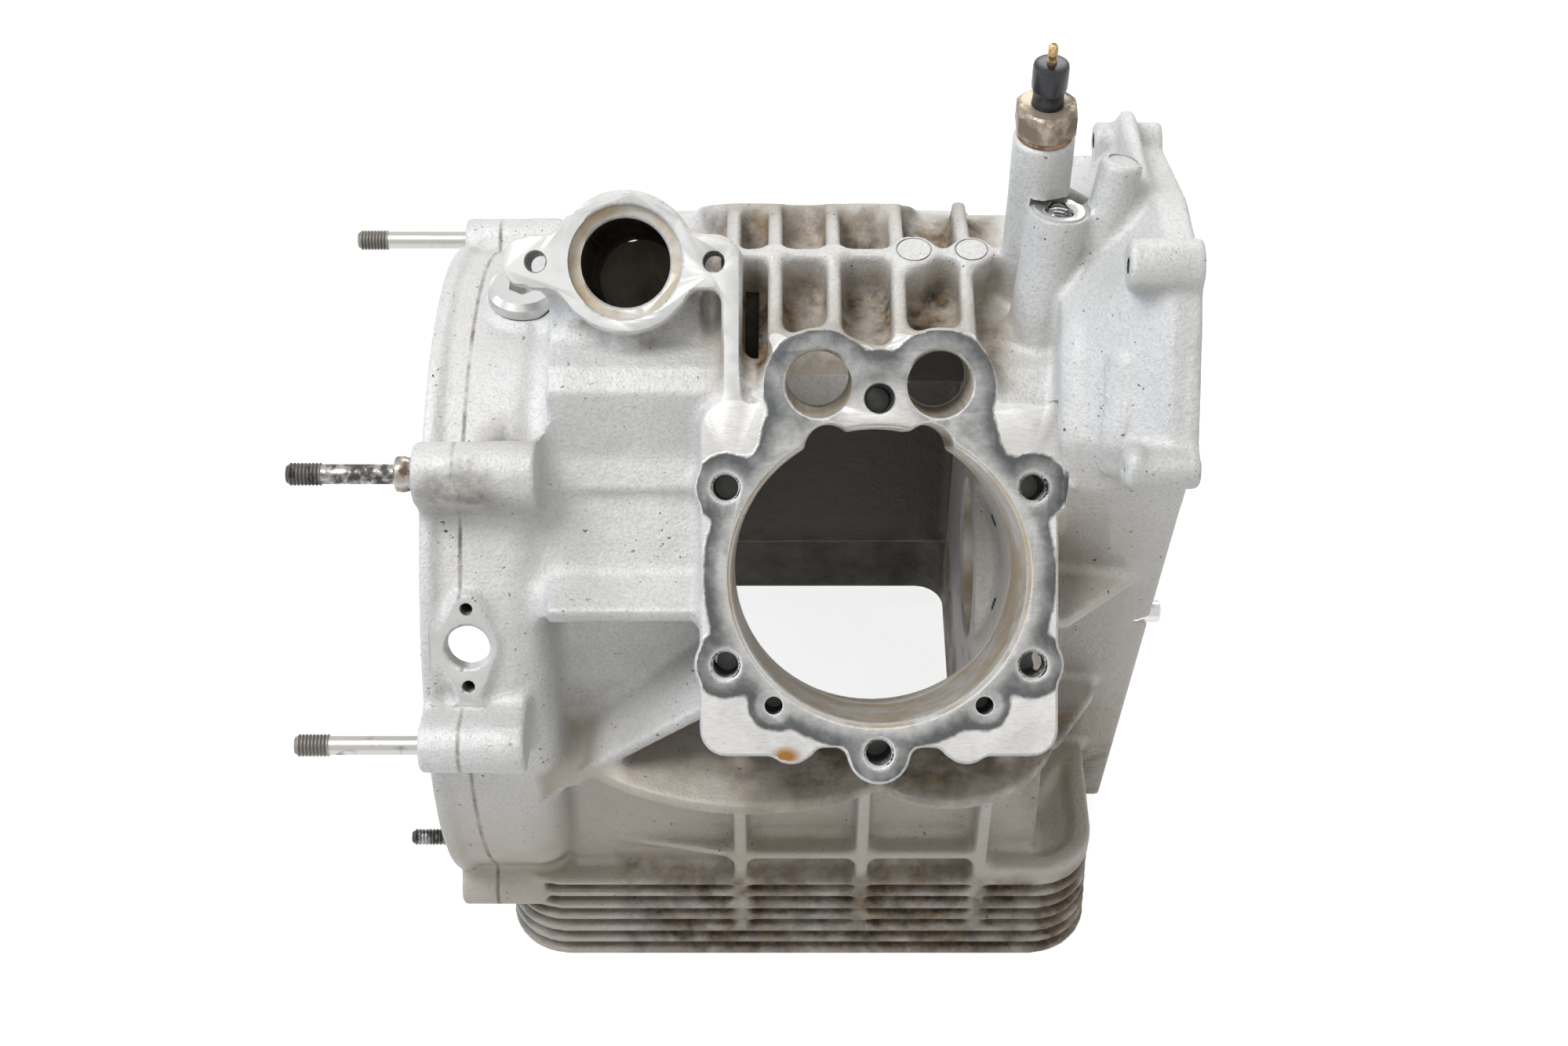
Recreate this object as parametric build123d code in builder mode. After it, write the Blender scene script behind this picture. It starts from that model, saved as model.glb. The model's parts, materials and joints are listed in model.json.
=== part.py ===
"""Bare crankcase of an air-cooled 90 degree V-twin with a lengthwise crankshaft.

The origin is on the crankshaft axis, below the valley between the two cylinder banks.
+X points to the timing end, +Z up, and the near bank lies on the -Y side. Millimetres.
"""
from build123d import *
import os
from math import atan2, cos, degrees, radians, sin, sqrt

os.makedirs("parts", exist_ok=True)

# Cylinder banks
bank_lean = 45                 # each bank leans this far from upright
deck_height = 130              # crank axis to deck face, along the bore
near_bank_x = 32               # bore centre of the near bank
bank_stagger = 24              # the far bank sits this far to the rear of the near one
spigot_bore_d = 99
spigot_lip_d = 102
spigot_lip_depth = 1.5
spigot_depth = 96
cylinder_stud_pcd = 119.2
cylinder_stud_count = 6
cylinder_stud_core_d = 8.5
cylinder_stud_mouth_d = 11
cylinder_stud_depth = 28
oil_hole_d = 6
oil_hole_depth = 22
oil_hole_x = 35.5
oil_hole_drop = 43.5
tappet_bore_d = 22
tappet_spread = 20.3           # tappet bore to bore centre line
tappet_rise = 64.1             # tappet bores above the spigot bore, up the deck
tappet_tilt = 7
tappet_depth = 62
tappet_dome_r = 19.4
tappet_relief_r = 8.5
tappet_relief_spread = 16.5
tappet_relief_rise = 42.5

# Deck pad and barrel below it
deck_half_width = 60.4
deck_up = 58.8
deck_down = 60.8
deck_corner_r = 9
deck_notch_half = 22
deck_notch_depth = 3
deck_lobe_r = 10.8
deck_foot_lobe_x = 29.6
deck_foot_lobe_drop = 55.3
deck_foot_lobe_r = 8.3
deck_pad_thickness = 13
barrel_inset = 5
barrel_depth = 100

# Crank chamber and main bearing walls
rear_wall_x = -32
front_wall_x = 71.6
chamber_r = 74
chamber_half_width = 74
rear_bay_x = (-72, -44)        # open bay behind the rear main wall
front_bay_x = (80, 108)        # pocket below the timing chest
front_bay_half_width = 34
front_main_bore_d = 61
front_main_pcd = 82
main_bolt_core_d = 5
main_bolt_count = 8
rear_main_bore_d = 88
rear_main_pcd = 106
cam_height = 92
cam_bore_d = 46
cam_tunnel_d = 51              # between the camshaft's two journals
cam_rear_bore_d = 34
cam_rear_x = -44
main_bolt_depth = 14

# Bell housing
bell_flange_x = -124.4
bell_back_x = -80
bell_shell_r = 119
bell_rim_r = bell_shell_r + 2.5
bell_rim_thickness = 5.3
bell_wall = 7
bell_shoulder_r = 14
# Screw bosses round the rim: angle, circle radius, boss radius, inner end
bell_bosses = (
    (43.5, bell_rim_r + 3, 8.5, bell_back_x - 6),
    (120, bell_rim_r + 10.9, 11, bell_back_x - 3),
    (161.4, bell_rim_r + 10.1, 9.4, bell_back_x - 8),
    (218.3, bell_rim_r + 6, 7.5, bell_back_x - 12),
    (321.7, bell_rim_r + 6, 7.5, bell_back_x - 12),
    (18.6, bell_rim_r + 10.1, 9.4, bell_back_x - 8),
)
bell_stud_bosses = bell_bosses[:3]

# Body between the bell housing and the front wall
body_front_x = 96
valley_floor_z = 138
side_wall_y = 84               # at the shelf; it draws out to the skirt below
rear_body_end_x = -28
rear_top_z = 147
plate_t = 6                    # webs, shelves and gussets

# Sump skirt
sump_face_z = -116
sump_rear_x = -109
sump_front_x = 121
sump_half_width = 108.5
sump_corner_r = 24
fin_count = 7
fin_pitch = 7.4
fin_t = 2.8
fin_depth = 12
fin_rake = 0.4                 # each fin stands this much further in than the one below
sump_opening_half_width = 86
sump_opening_corner_r = 12
skirt_rib_x = (-16.5, 29.5, 74.5)
shelf_z = 10
skirt_ledge_z = -53
skirt_ledge_y = 104
skirt_rib_y = 105
skirt_rim_t = 7                # rim of the skirt's front pocket
skirt_rim_z = -60

# Valley ribs
rib_t = 5
valley_rib_x = (-3, 17, 39, 62)
valley_rib_edge_z = 149
valley_rib_crown_z = 156
valley_ridge_end_x = 84
valley_bosses = ((-3.2, 4.2), (17, 4.2), (44.5, 8), (64.2, 7.5))

# Distributor mount on the near side of the rear body
distributor_x = -53.3
distributor_up = 105.3
distributor_ring_r = 24.2
distributor_ear_spread = 29.8
distributor_ear_r = 9.3
distributor_flange_t = 9
distributor_neck_r = 20.5
distributor_neck_length = 34
distributor_bore_d = 30
distributor_seat_d = 38
distributor_seat_depth = 5
distributor_bore_depth = 84
distributor_screw_d = 7
distributor_screw_depth = 22
strip_x = -17.5
strip_t = 7

# Timing chest
timing_face_x = 132.5
timing_flange_t = 10
timing_back_x = 92
timing_inner_back_x = 98
timing_wall = 7
# Corners (y, z) of the flange and of the chest where it leaves the body, in the same order
timing_outline = (
    (-32, -114), (-82, 124), (-88, 147), (-66, 176), (-52, 192), (-12, 189),
    (36, 172), (58, 160), (80, 135), (80, 118), (32, -114),
)
timing_back_outline = (
    (-29, -114), (-77, 119), (-70, 134), (-52, 150), (-40, 158), (-8, 162),
    (28, 158), (48, 147), (66, 128), (75, 113), (29, -114),
)
timing_lugs = ((-49, 191.5, 8.6), (-91, 143, 6.5), (84, 124, 6.5), (44, 169.5, 6.5))
timing_inner_lugs = ((-61, 60, 7), (61, 60, 7), (-36, -60, 7), (36, -60, 7))
timing_lug_length = 24
timing_screw_d = 5.5
crown_plate_x = 119            # fin on the chest's back, above its flange
crown_plate_t = 5.5
crown_plate = ((-14, 186), (-5, 189.5), (38, 184.5), (45, 182), (50, 168), (46, 158), (-14, 175))

# Sender pillar and front bosses
sender_x = 85
pillar_r = 10.3
pillar_top_z = 206
sender_thread_d = 12
sender_thread_depth = 14
insert_foot = (85.5, -22, 134)
insert_top = (91, -12, 184.5)
insert_boss_r = 10
insert_d = 8
insert_length = 14
small_boss_foot = (104, -16, 160)
small_boss_top = (110.5, -6, 199.5)
small_boss_r = 7.3
passage_r = 6                  # the oil passage shows as a long bump beside the pillar
passage_point = (-22, 138)
passage_x = (78, 95)

shoulder_rib_z = 82
shelf_front_x = 97
shelf_front_y = 100
shelf_reach = 127              # furthest out, under the rear half of each bank
sump_opening_rear_x = -94
rear_bay_top_z = 60
rear_main_boss_r = 58
front_bay_depth = 40
bell_inner_slant = 7

# Studs and small parts of the bell housing
bell_stud_d = 7.8
bell_stud_seat = 20
bell_stud_tip_x = -167
bell_stud_shank_d = 6.8
bell_stud_thread_length = 12
small_stud_d = 6
small_stud_angle = 195
small_stud_circle_r = bell_shell_r - 3
small_stud_tip_x = -137
bush_r = 6.2
bush_seat = 6
bush_end_x = -130.5
plug_x = -93
plug_y = 16.5
plug_r = 13
plug_seat_z = bell_shell_r + 2
plug_head_t = 6
plug_thread_r = 9
plug_thread_length = 8
inspection_x = -108
inspection_angle = 147
inspection_pad_r = 11
inspection_end_r = 5.6
inspection_pad_height = 2.2
inspection_bore_d = 15
inspection_screw_spread = 13.8
inspection_screw_core_d = 4

# Small holes and the dowel of the timing face
pan_screw_count = 4
pan_screw_x = -79
pan_screw_pitch = 56
pan_screw_y = 97
pan_screw_core_d = 5
dowel_point = (-59, 36)
dowel_d = 8
dowel_seat = 7
dowel_stand = 4
insert_outer_d = 9.6
insert_sink = 1
dowel_wall = 1.2
stud_bevel = 0.9
plug_bevel = 2
plug_socket_flats = 10
plug_socket_depth = 5
sender_washer_r = 9.4
sender_washer_t = 1.5
sender_flats = 19
sender_turn = 0
sender_hex_h = 10.5
insulator_foot_r = 5
insulator_r = 5.9
insulator_seat = 3
insulator_h = 15.5
terminal_r = 1.6
terminal_stand = 7


def ring_point(radius, angle):
    """A (y, z) point on a circle about the crankshaft axis."""
    return radius * cos(radians(angle)), radius * sin(radians(angle))


def section_plane(x):
    """The plane across the crankshaft at x; its own x and y are the world's Y and Z."""
    return Plane(origin=(x, 0, 0), x_dir=(0, 1, 0), z_dir=(1, 0, 0))


# The near deck: its own x runs with the crankshaft and its y up the deck face.
lean = radians(bank_lean)
deck = Plane(
    origin=(0, -deck_height * sin(lean), deck_height * cos(lean)),
    x_dir=(1, 0, 0),
    z_dir=(0, -sin(lean), cos(lean)),
)
stud_points = [
    (
        cylinder_stud_pcd / 2 * cos(radians(30 + 60 * i)),
        cylinder_stud_pcd / 2 * sin(radians(30 + 60 * i)),
    )
    for i in range(cylinder_stud_count)
]
tappet_points = [(-tappet_spread, tappet_rise), (tappet_spread, tappet_rise)]

# Deck pad with its stud lobes, tappet domes and the barrel that stands below it
with BuildPart() as bank:
    with BuildSketch(deck) as pad_outline:
        with Locations((0, (deck_up - deck_down) / 2)):
            RectangleRounded(2 * deck_half_width, deck_up + deck_down, deck_corner_r)
        with Locations((0, -deck_down)):
            Rectangle(2 * deck_notch_half, 2 * deck_notch_depth, mode=Mode.SUBTRACT)
        with Locations(*stud_points):
            Circle(deck_lobe_r)
        with Locations((-deck_foot_lobe_x, -deck_foot_lobe_drop), (deck_foot_lobe_x, -deck_foot_lobe_drop)):
            Circle(deck_foot_lobe_r)
        with Locations(*tappet_points):
            Circle(tappet_dome_r)
    extrude(amount=-deck_pad_thickness)
    with BuildSketch(deck.offset(-deck_pad_thickness)) as barrel_outline:
        with Locations((0, 0)):
            RectangleRounded(
                2 * (deck_half_width - barrel_inset), 2 * (deck_up - barrel_inset), deck_corner_r
            )
        with Locations(stud_points[4]):
            Circle(deck_lobe_r - 1)
    extrude(amount=deck_pad_thickness - barrel_depth)
    with BuildSketch(deck.offset(-deck_pad_thickness)) as dome_outline:
        with Locations(*tappet_points):
            Circle(tappet_dome_r)
        with Locations((0, tappet_rise - tappet_dome_r / 2)):
            Rectangle(2 * tappet_spread, tappet_dome_r)
    extrude(amount=deck_pad_thickness - tappet_depth)

# What is bored and drilled from a deck
with BuildPart() as bank_bores:
    with BuildSketch(deck):
        Circle(spigot_bore_d / 2)
        with Locations(
            (-tappet_relief_spread, tappet_relief_rise), (tappet_relief_spread, tappet_relief_rise)
        ):
            Circle(tappet_relief_r)
    extrude(amount=-spigot_depth)
    with BuildSketch(deck):
        Circle(spigot_lip_d / 2)
    extrude(amount=-spigot_lip_depth)
    with BuildSketch(deck):
        with Locations(*stud_points):
            Circle(cylinder_stud_core_d / 2)
    extrude(amount=-cylinder_stud_depth)
    mouth = (cylinder_stud_mouth_d - cylinder_stud_core_d) / 2
    with BuildSketch(deck):
        with Locations(*stud_points):
            Circle(cylinder_stud_mouth_d / 2)
    extrude(amount=-mouth, taper=44)
    with BuildSketch(deck):
        with Locations((-oil_hole_x, -oil_hole_drop), (oil_hole_x, -oil_hole_drop)):
            Circle(oil_hole_d / 2)
    extrude(amount=-oil_hole_depth)
    tilted = Plane(
        origin=deck.from_local_coords((0, tappet_rise, 2)),
        x_dir=(1, 0, 0),
        z_dir=(0, -sin(lean + radians(tappet_tilt)), cos(lean + radians(tappet_tilt))),
    )
    with BuildSketch(tilted):
        with Locations((-tappet_spread, 0), (tappet_spread, 0)):
            Circle(tappet_bore_d / 2)
    extrude(amount=-tappet_depth)

far_bank_x = near_bank_x - bank_stagger
skirt_core_y = sump_half_width - fin_depth
fin_top_z = sump_face_z + (fin_count - 1) * fin_pitch + fin_t
far_bank = mirror(bank.part, about=Plane.XZ)
far_bores = mirror(bank_bores.part, about=Plane.XZ)


def plate(points, x, thickness):
    """A web across the crankshaft: (y, z) points, centred on x."""
    with BuildPart(mode=Mode.PRIVATE) as web:
        with BuildSketch(section_plane(x - thickness / 2)):
            with BuildLine():
                Polyline(*points, close=True)
            make_face()
        extrude(amount=thickness)
    return web.part


def shelf(points, z, thickness):
    """A level web: (x, y) points, its top face at z."""
    with BuildPart(mode=Mode.PRIVATE) as web:
        with BuildSketch(Plane.XY.offset(z - thickness)):
            with BuildLine():
                Polyline(*points, close=True)
            make_face()
        extrude(amount=thickness)
    return web.part


def leaning_plane(foot, top):
    """The plane at foot that faces top."""
    return Plane(origin=foot, z_dir=Vector(*top) - Vector(*foot))


def stub(radius, point, x, length):
    """A round boss or hole along the crankshaft, from x by a signed length."""
    with BuildPart(mode=Mode.PRIVATE) as rod:
        with BuildSketch(section_plane(x)):
            with Locations(point):
                Circle(radius)
        extrude(amount=length)
    return rod.part


# One side's webs, ledges and gussets; the far side is its mirror image
def side_webs(bank_x, side):
    block_x = bank_x - deck_half_width
    webs = [
        # Shelf rib of the rear shoulder and the slanting gusset below it
        shelf(
            [(bell_back_x, -56), (bell_back_x, -99), (block_x + 8, -99), (block_x + 8, -56)],
            shoulder_rib_z,
            plate_t,
        ),
        # Ledge half way down the skirt
        shelf(
            [
                (bell_back_x - 2, -84),
                (bell_back_x - 2, -92),
                (skirt_rib_x[0], -skirt_ledge_y),
                (skirt_rib_x[2], -skirt_ledge_y),
                (skirt_rib_x[2], -84),
            ],
            skirt_ledge_z,
            4,
        ),
        # Corner gussets between the body and the timing chest
        shelf([(90, -60), (90, -93), (97, -93), (123, -72), (123, -60)], 70, 5),
        shelf([(90, -50), (90, -86), (101, -86), (117, -62), (117, -50)], -8, 5),
        shelf([(84, -44), (84, -88), (90, -88), (111, -52), (111, -44)], -60, 5),
    ]
    # Web from the deck pad down to the shelf at each end of the pad
    web_top = deck.from_local_coords((0, 3.5 - deck_down, -8))
    for x in (bank_x - 47, bank_x + 46):
        webs.append(
            plate(
                [
                    (web_top.Y, web_top.Z),
                    (web_top.Y + 23, shelf_z - 2),
                    (-80, shelf_z - 2),
                    (-80, 60),
                ],
                x,
                rib_t,
            )
        )
    for x in skirt_rib_x:
        webs.append(
            plate(
                [
                    (-80, shelf_z - 2),
                    (-skirt_rib_y, shelf_z - 2),
                    (-skirt_rib_y, sump_face_z + 15),
                    (-80, sump_face_z + 15),
                ],
                x,
                rib_t,
            )
        )
    return webs if side < 0 else [mirror(web, about=Plane.XZ) for web in webs]


inspection_dir = Vector(0, *ring_point(1, inspection_angle))
inspection_plane = Plane(
    origin=Vector(inspection_x, 0, 0) + inspection_dir * (bell_shell_r - 6),
    x_dir=(1, 0, 0),
    z_dir=inspection_dir,
)

# Bell housing cavity, closed below by a flat floor; the screw bosses stand in from its wall
bell_boss_stubs = [
    stub(boss_r, ring_point(circle_r, angle), bell_flange_x, end_x - bell_flange_x)
    for angle, circle_r, boss_r, end_x in bell_bosses
]
with BuildPart() as bell_cavity:
    with BuildSketch(Plane.XY):
        inner_r = bell_shell_r - bell_wall
        inner_x = bell_back_x - bell_wall
        with BuildLine():
            Polyline(
                (inner_x, 0),
                (bell_flange_x, 0),
                (bell_flange_x, inner_r),
                (inner_x - bell_inner_slant, inner_r),
                (inner_x, inner_r - bell_inner_slant),
                close=True,
            )
        make_face()
    revolve(axis=Axis.X)
    split(bisect_by=Plane.XY.offset(sump_face_z + bell_wall), keep=Keep.TOP)
    add(bell_boss_stubs, mode=Mode.SUBTRACT)

# Timing chest cavity, kept clear of the screw lugs
timing_lug_stubs = [
    stub(r, (y, z), timing_face_x, -timing_lug_length) for y, z, r in timing_lugs + timing_inner_lugs
]
with BuildPart() as chest_cavity:
    for x, points, wall in (
        (timing_inner_back_x, timing_back_outline, timing_wall + 1),
        (timing_face_x, timing_outline, timing_wall),
    ):
        with BuildSketch(section_plane(x)):
            with BuildLine():
                Polyline(*points, close=True)
            make_face()
            offset(amount=-wall, kind=Kind.INTERSECTION)
    loft(ruled=True)
    add(timing_lug_stubs, mode=Mode.SUBTRACT)

# Holes along the crankshaft: main and cam bearing bores, screw, stud and dowel holes
rear_wall_back_x = bell_back_x - bell_wall
bush_angle, bush_circle_r = bell_bosses[1][:2]
long_bores = [
    stub(rear_main_bore_d / 2, (0, 0), rear_wall_back_x - 1, rear_wall_x - rear_wall_back_x + 2),
    stub(front_main_bore_d / 2, (0, 0), front_wall_x - 1, timing_inner_back_x - front_wall_x + 2),
    stub(cam_bore_d / 2, (0, cam_height), front_wall_x - 1, timing_inner_back_x - front_wall_x + 2),
    stub(cam_rear_bore_d / 2, (0, cam_height), cam_rear_x, rear_wall_x - cam_rear_x + 1),
    stub(bush_r, ring_point(bush_circle_r, bush_angle), bell_flange_x, bush_seat),
    stub(dowel_d / 2, dowel_point, timing_face_x, -dowel_seat),
    stub(
        small_stud_d / 2,
        ring_point(small_stud_circle_r, small_stud_angle),
        bell_flange_x,
        bell_stud_seat,
    ),
]
for angle, circle_r, boss_r, end_x in bell_stud_bosses:
    long_bores.append(
        stub(bell_stud_d / 2, ring_point(circle_r, angle), bell_flange_x, bell_stud_seat)
    )
for y, z, r in timing_lugs + timing_inner_lugs:
    long_bores.append(stub(timing_screw_d / 2, (y, z), timing_face_x, -timing_lug_length))
for i in range(main_bolt_count):
    angle = (i + 0.5) * 360 / main_bolt_count
    front_hole = ring_point(front_main_pcd / 2, angle)
    rear_hole = ring_point(rear_main_pcd / 2, angle)
    long_bores.append(stub(main_bolt_core_d / 2, front_hole, front_wall_x, main_bolt_depth))
    long_bores.append(stub(main_bolt_core_d / 2, rear_hole, rear_wall_back_x, main_bolt_depth))

# All hollows of the casting: chambers, bores and screw holes
with BuildPart() as hollows:
    # Crank chamber, open below into the sump
    with BuildSketch(section_plane(rear_wall_x)):
        Circle(chamber_r)
        with Locations((0, sump_face_z / 2)):
            Rectangle(2 * chamber_half_width, -sump_face_z)
        # The camshaft's tunnel, open to the chamber along its length
        with Locations((0, cam_height)):
            Circle(cam_tunnel_d / 2)
        with Locations((0, cam_height / 2)):
            Rectangle(cam_tunnel_d, cam_height)
    extrude(amount=front_wall_x - rear_wall_x)
    with BuildSketch(Plane.XY.offset(sump_face_z)):
        with Locations(((sump_opening_rear_x + front_wall_x) / 2, 0)):
            RectangleRounded(
                front_wall_x - sump_opening_rear_x, 2 * sump_opening_half_width, sump_opening_corner_r
            )
    extrude(amount=fin_top_z - sump_face_z - 4)
    # Bay behind the rear main wall and the pocket below the timing chest
    with BuildSketch(section_plane(rear_bay_x[0])):
        with Locations((0, (sump_face_z + rear_bay_top_z) / 2)):
            Rectangle(2 * chamber_half_width, rear_bay_top_z - sump_face_z)
        Circle(rear_main_boss_r, mode=Mode.SUBTRACT)
    extrude(amount=rear_bay_x[1] - rear_bay_x[0])
    with BuildSketch(Plane.XY.offset(sump_face_z)):
        with Locations(((front_bay_x[0] + front_bay_x[1]) / 2, 0)):
            RectangleRounded(front_bay_x[1] - front_bay_x[0], 2 * front_bay_half_width, 6)
    extrude(amount=front_bay_depth)

    add(bell_cavity.part)
    add(chest_cavity.part)
    add(long_bores)

    # Bores of both banks
    add(bank_bores.part.moved(Location((near_bank_x, 0, 0))))
    add(far_bores.moved(Location((far_bank_x, 0, 0))))

    # Distributor bore, its seat and the two screw holes
    with BuildSketch(deck):
        with Locations((distributor_x, distributor_up)):
            Circle(distributor_seat_d / 2)
    extrude(amount=-distributor_seat_depth)
    with BuildSketch(deck):
        with Locations((distributor_x, distributor_up)):
            Circle(distributor_bore_d / 2)
    extrude(amount=-distributor_bore_depth)
    with BuildSketch(deck):
        for offset_x in (-distributor_ear_spread, distributor_ear_spread):
            with Locations((distributor_x + offset_x, distributor_up)):
                Circle(distributor_screw_d / 2)
    extrude(amount=-distributor_screw_depth)

    # Seats of the sender, the thread insert, the plug and the inspection cover
    with BuildSketch(Plane.XY.offset(pillar_top_z)):
        with Locations((sender_x, 0)):
            Circle(sender_thread_d / 2)
    extrude(amount=-sender_thread_depth)
    with BuildSketch(leaning_plane(insert_top, insert_foot)):
        Circle(insert_outer_d / 2)
    extrude(amount=insert_length)
    with BuildSketch(Plane.XY.offset(plug_seat_z)):
        with Locations((plug_x, plug_y)):
            Circle(plug_thread_r)
    extrude(amount=-plug_thread_length)
    with BuildSketch(inspection_plane.offset(6 + inspection_pad_height)):
        Circle(inspection_bore_d / 2)
    extrude(amount=-20)
    with BuildSketch(inspection_plane.offset(6 + inspection_pad_height)):
        with Locations((0, inspection_screw_spread), (0, -inspection_screw_spread)):
            Circle(inspection_screw_core_d / 2)
    extrude(amount=-9)

    # Screw holes of the sump pan
    with BuildSketch(Plane.XY.offset(sump_face_z)):
        for side in (-1, 1):
            for i in range(pan_screw_count):
                with Locations((pan_screw_x + i * pan_screw_pitch, side * pan_screw_y)):
                    Circle(pan_screw_core_d / 2)
    extrude(amount=12)


# Valley ribs, the lengthwise ridge and the round bosses on it
valley_webs = [
    plate(
        [
            (-42, valley_floor_z - 6),
            (-36, valley_rib_edge_z),
            (0, valley_rib_crown_z),
            (36, valley_rib_edge_z),
            (42, valley_floor_z - 6),
        ],
        x,
        rib_t,
    )
    for x in valley_rib_x
]
valley_webs.append(
    plate(
        [
            (0, valley_floor_z - 6),
            (0, valley_rib_crown_z),
            (36, valley_rib_edge_z),
            (42, valley_floor_z - 6),
        ],
        strip_x,
        rib_t,
    )
)
valley_webs.append(
    shelf(
        [
            (strip_x, -rib_t / 2),
            (valley_ridge_end_x, -rib_t / 2),
            (valley_ridge_end_x, rib_t / 2),
            (strip_x, rib_t / 2),
        ],
        valley_rib_crown_z,
        valley_rib_crown_z - valley_floor_z + 4,
    )
)
with BuildPart() as valley_posts:
    for x, r in valley_bosses:
        with BuildSketch(Plane.XY.offset(valley_floor_z - 4)):
            with Locations((x, 0)):
                Circle(r)
        extrude(amount=valley_rib_crown_z - valley_floor_z + 5)
    # Sender pillar and the two leaning bosses at the front
    with BuildSketch(Plane.XY.offset(valley_floor_z - 10)):
        with Locations((sender_x, 0)):
            Circle(pillar_r)
    extrude(amount=pillar_top_z - valley_floor_z + 10)
    for foot, top, radius in (
        (insert_foot, insert_top, insert_boss_r),
        (small_boss_foot, small_boss_top, small_boss_r),
    ):
        with BuildSketch(leaning_plane(foot, top)):
            Circle(radius)
        extrude(amount=(Vector(*top) - Vector(*foot)).length)
    add(stub(passage_r, passage_point, passage_x[0], passage_x[1] - passage_x[0]))
    with Locations((passage_x[0], *passage_point)):
        Sphere(passage_r)

# The timing chest swells towards its flange
timing_flange_x = timing_face_x - timing_flange_t
with BuildPart() as timing_chest:
    for x, points in ((timing_back_x, timing_back_outline), (timing_flange_x, timing_outline)):
        with BuildSketch(section_plane(x)):
            with BuildLine():
                Polyline(*points, close=True)
            make_face()
    loft(ruled=True)
    with BuildSketch(section_plane(timing_flange_x)):
        with BuildLine():
            Polyline(*timing_outline, close=True)
        make_face()
    extrude(amount=timing_flange_t)
    add(timing_lug_stubs[: len(timing_lugs)])

near_webs = side_webs(near_bank_x, -1)
far_webs = side_webs(far_bank_x, 1)

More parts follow.
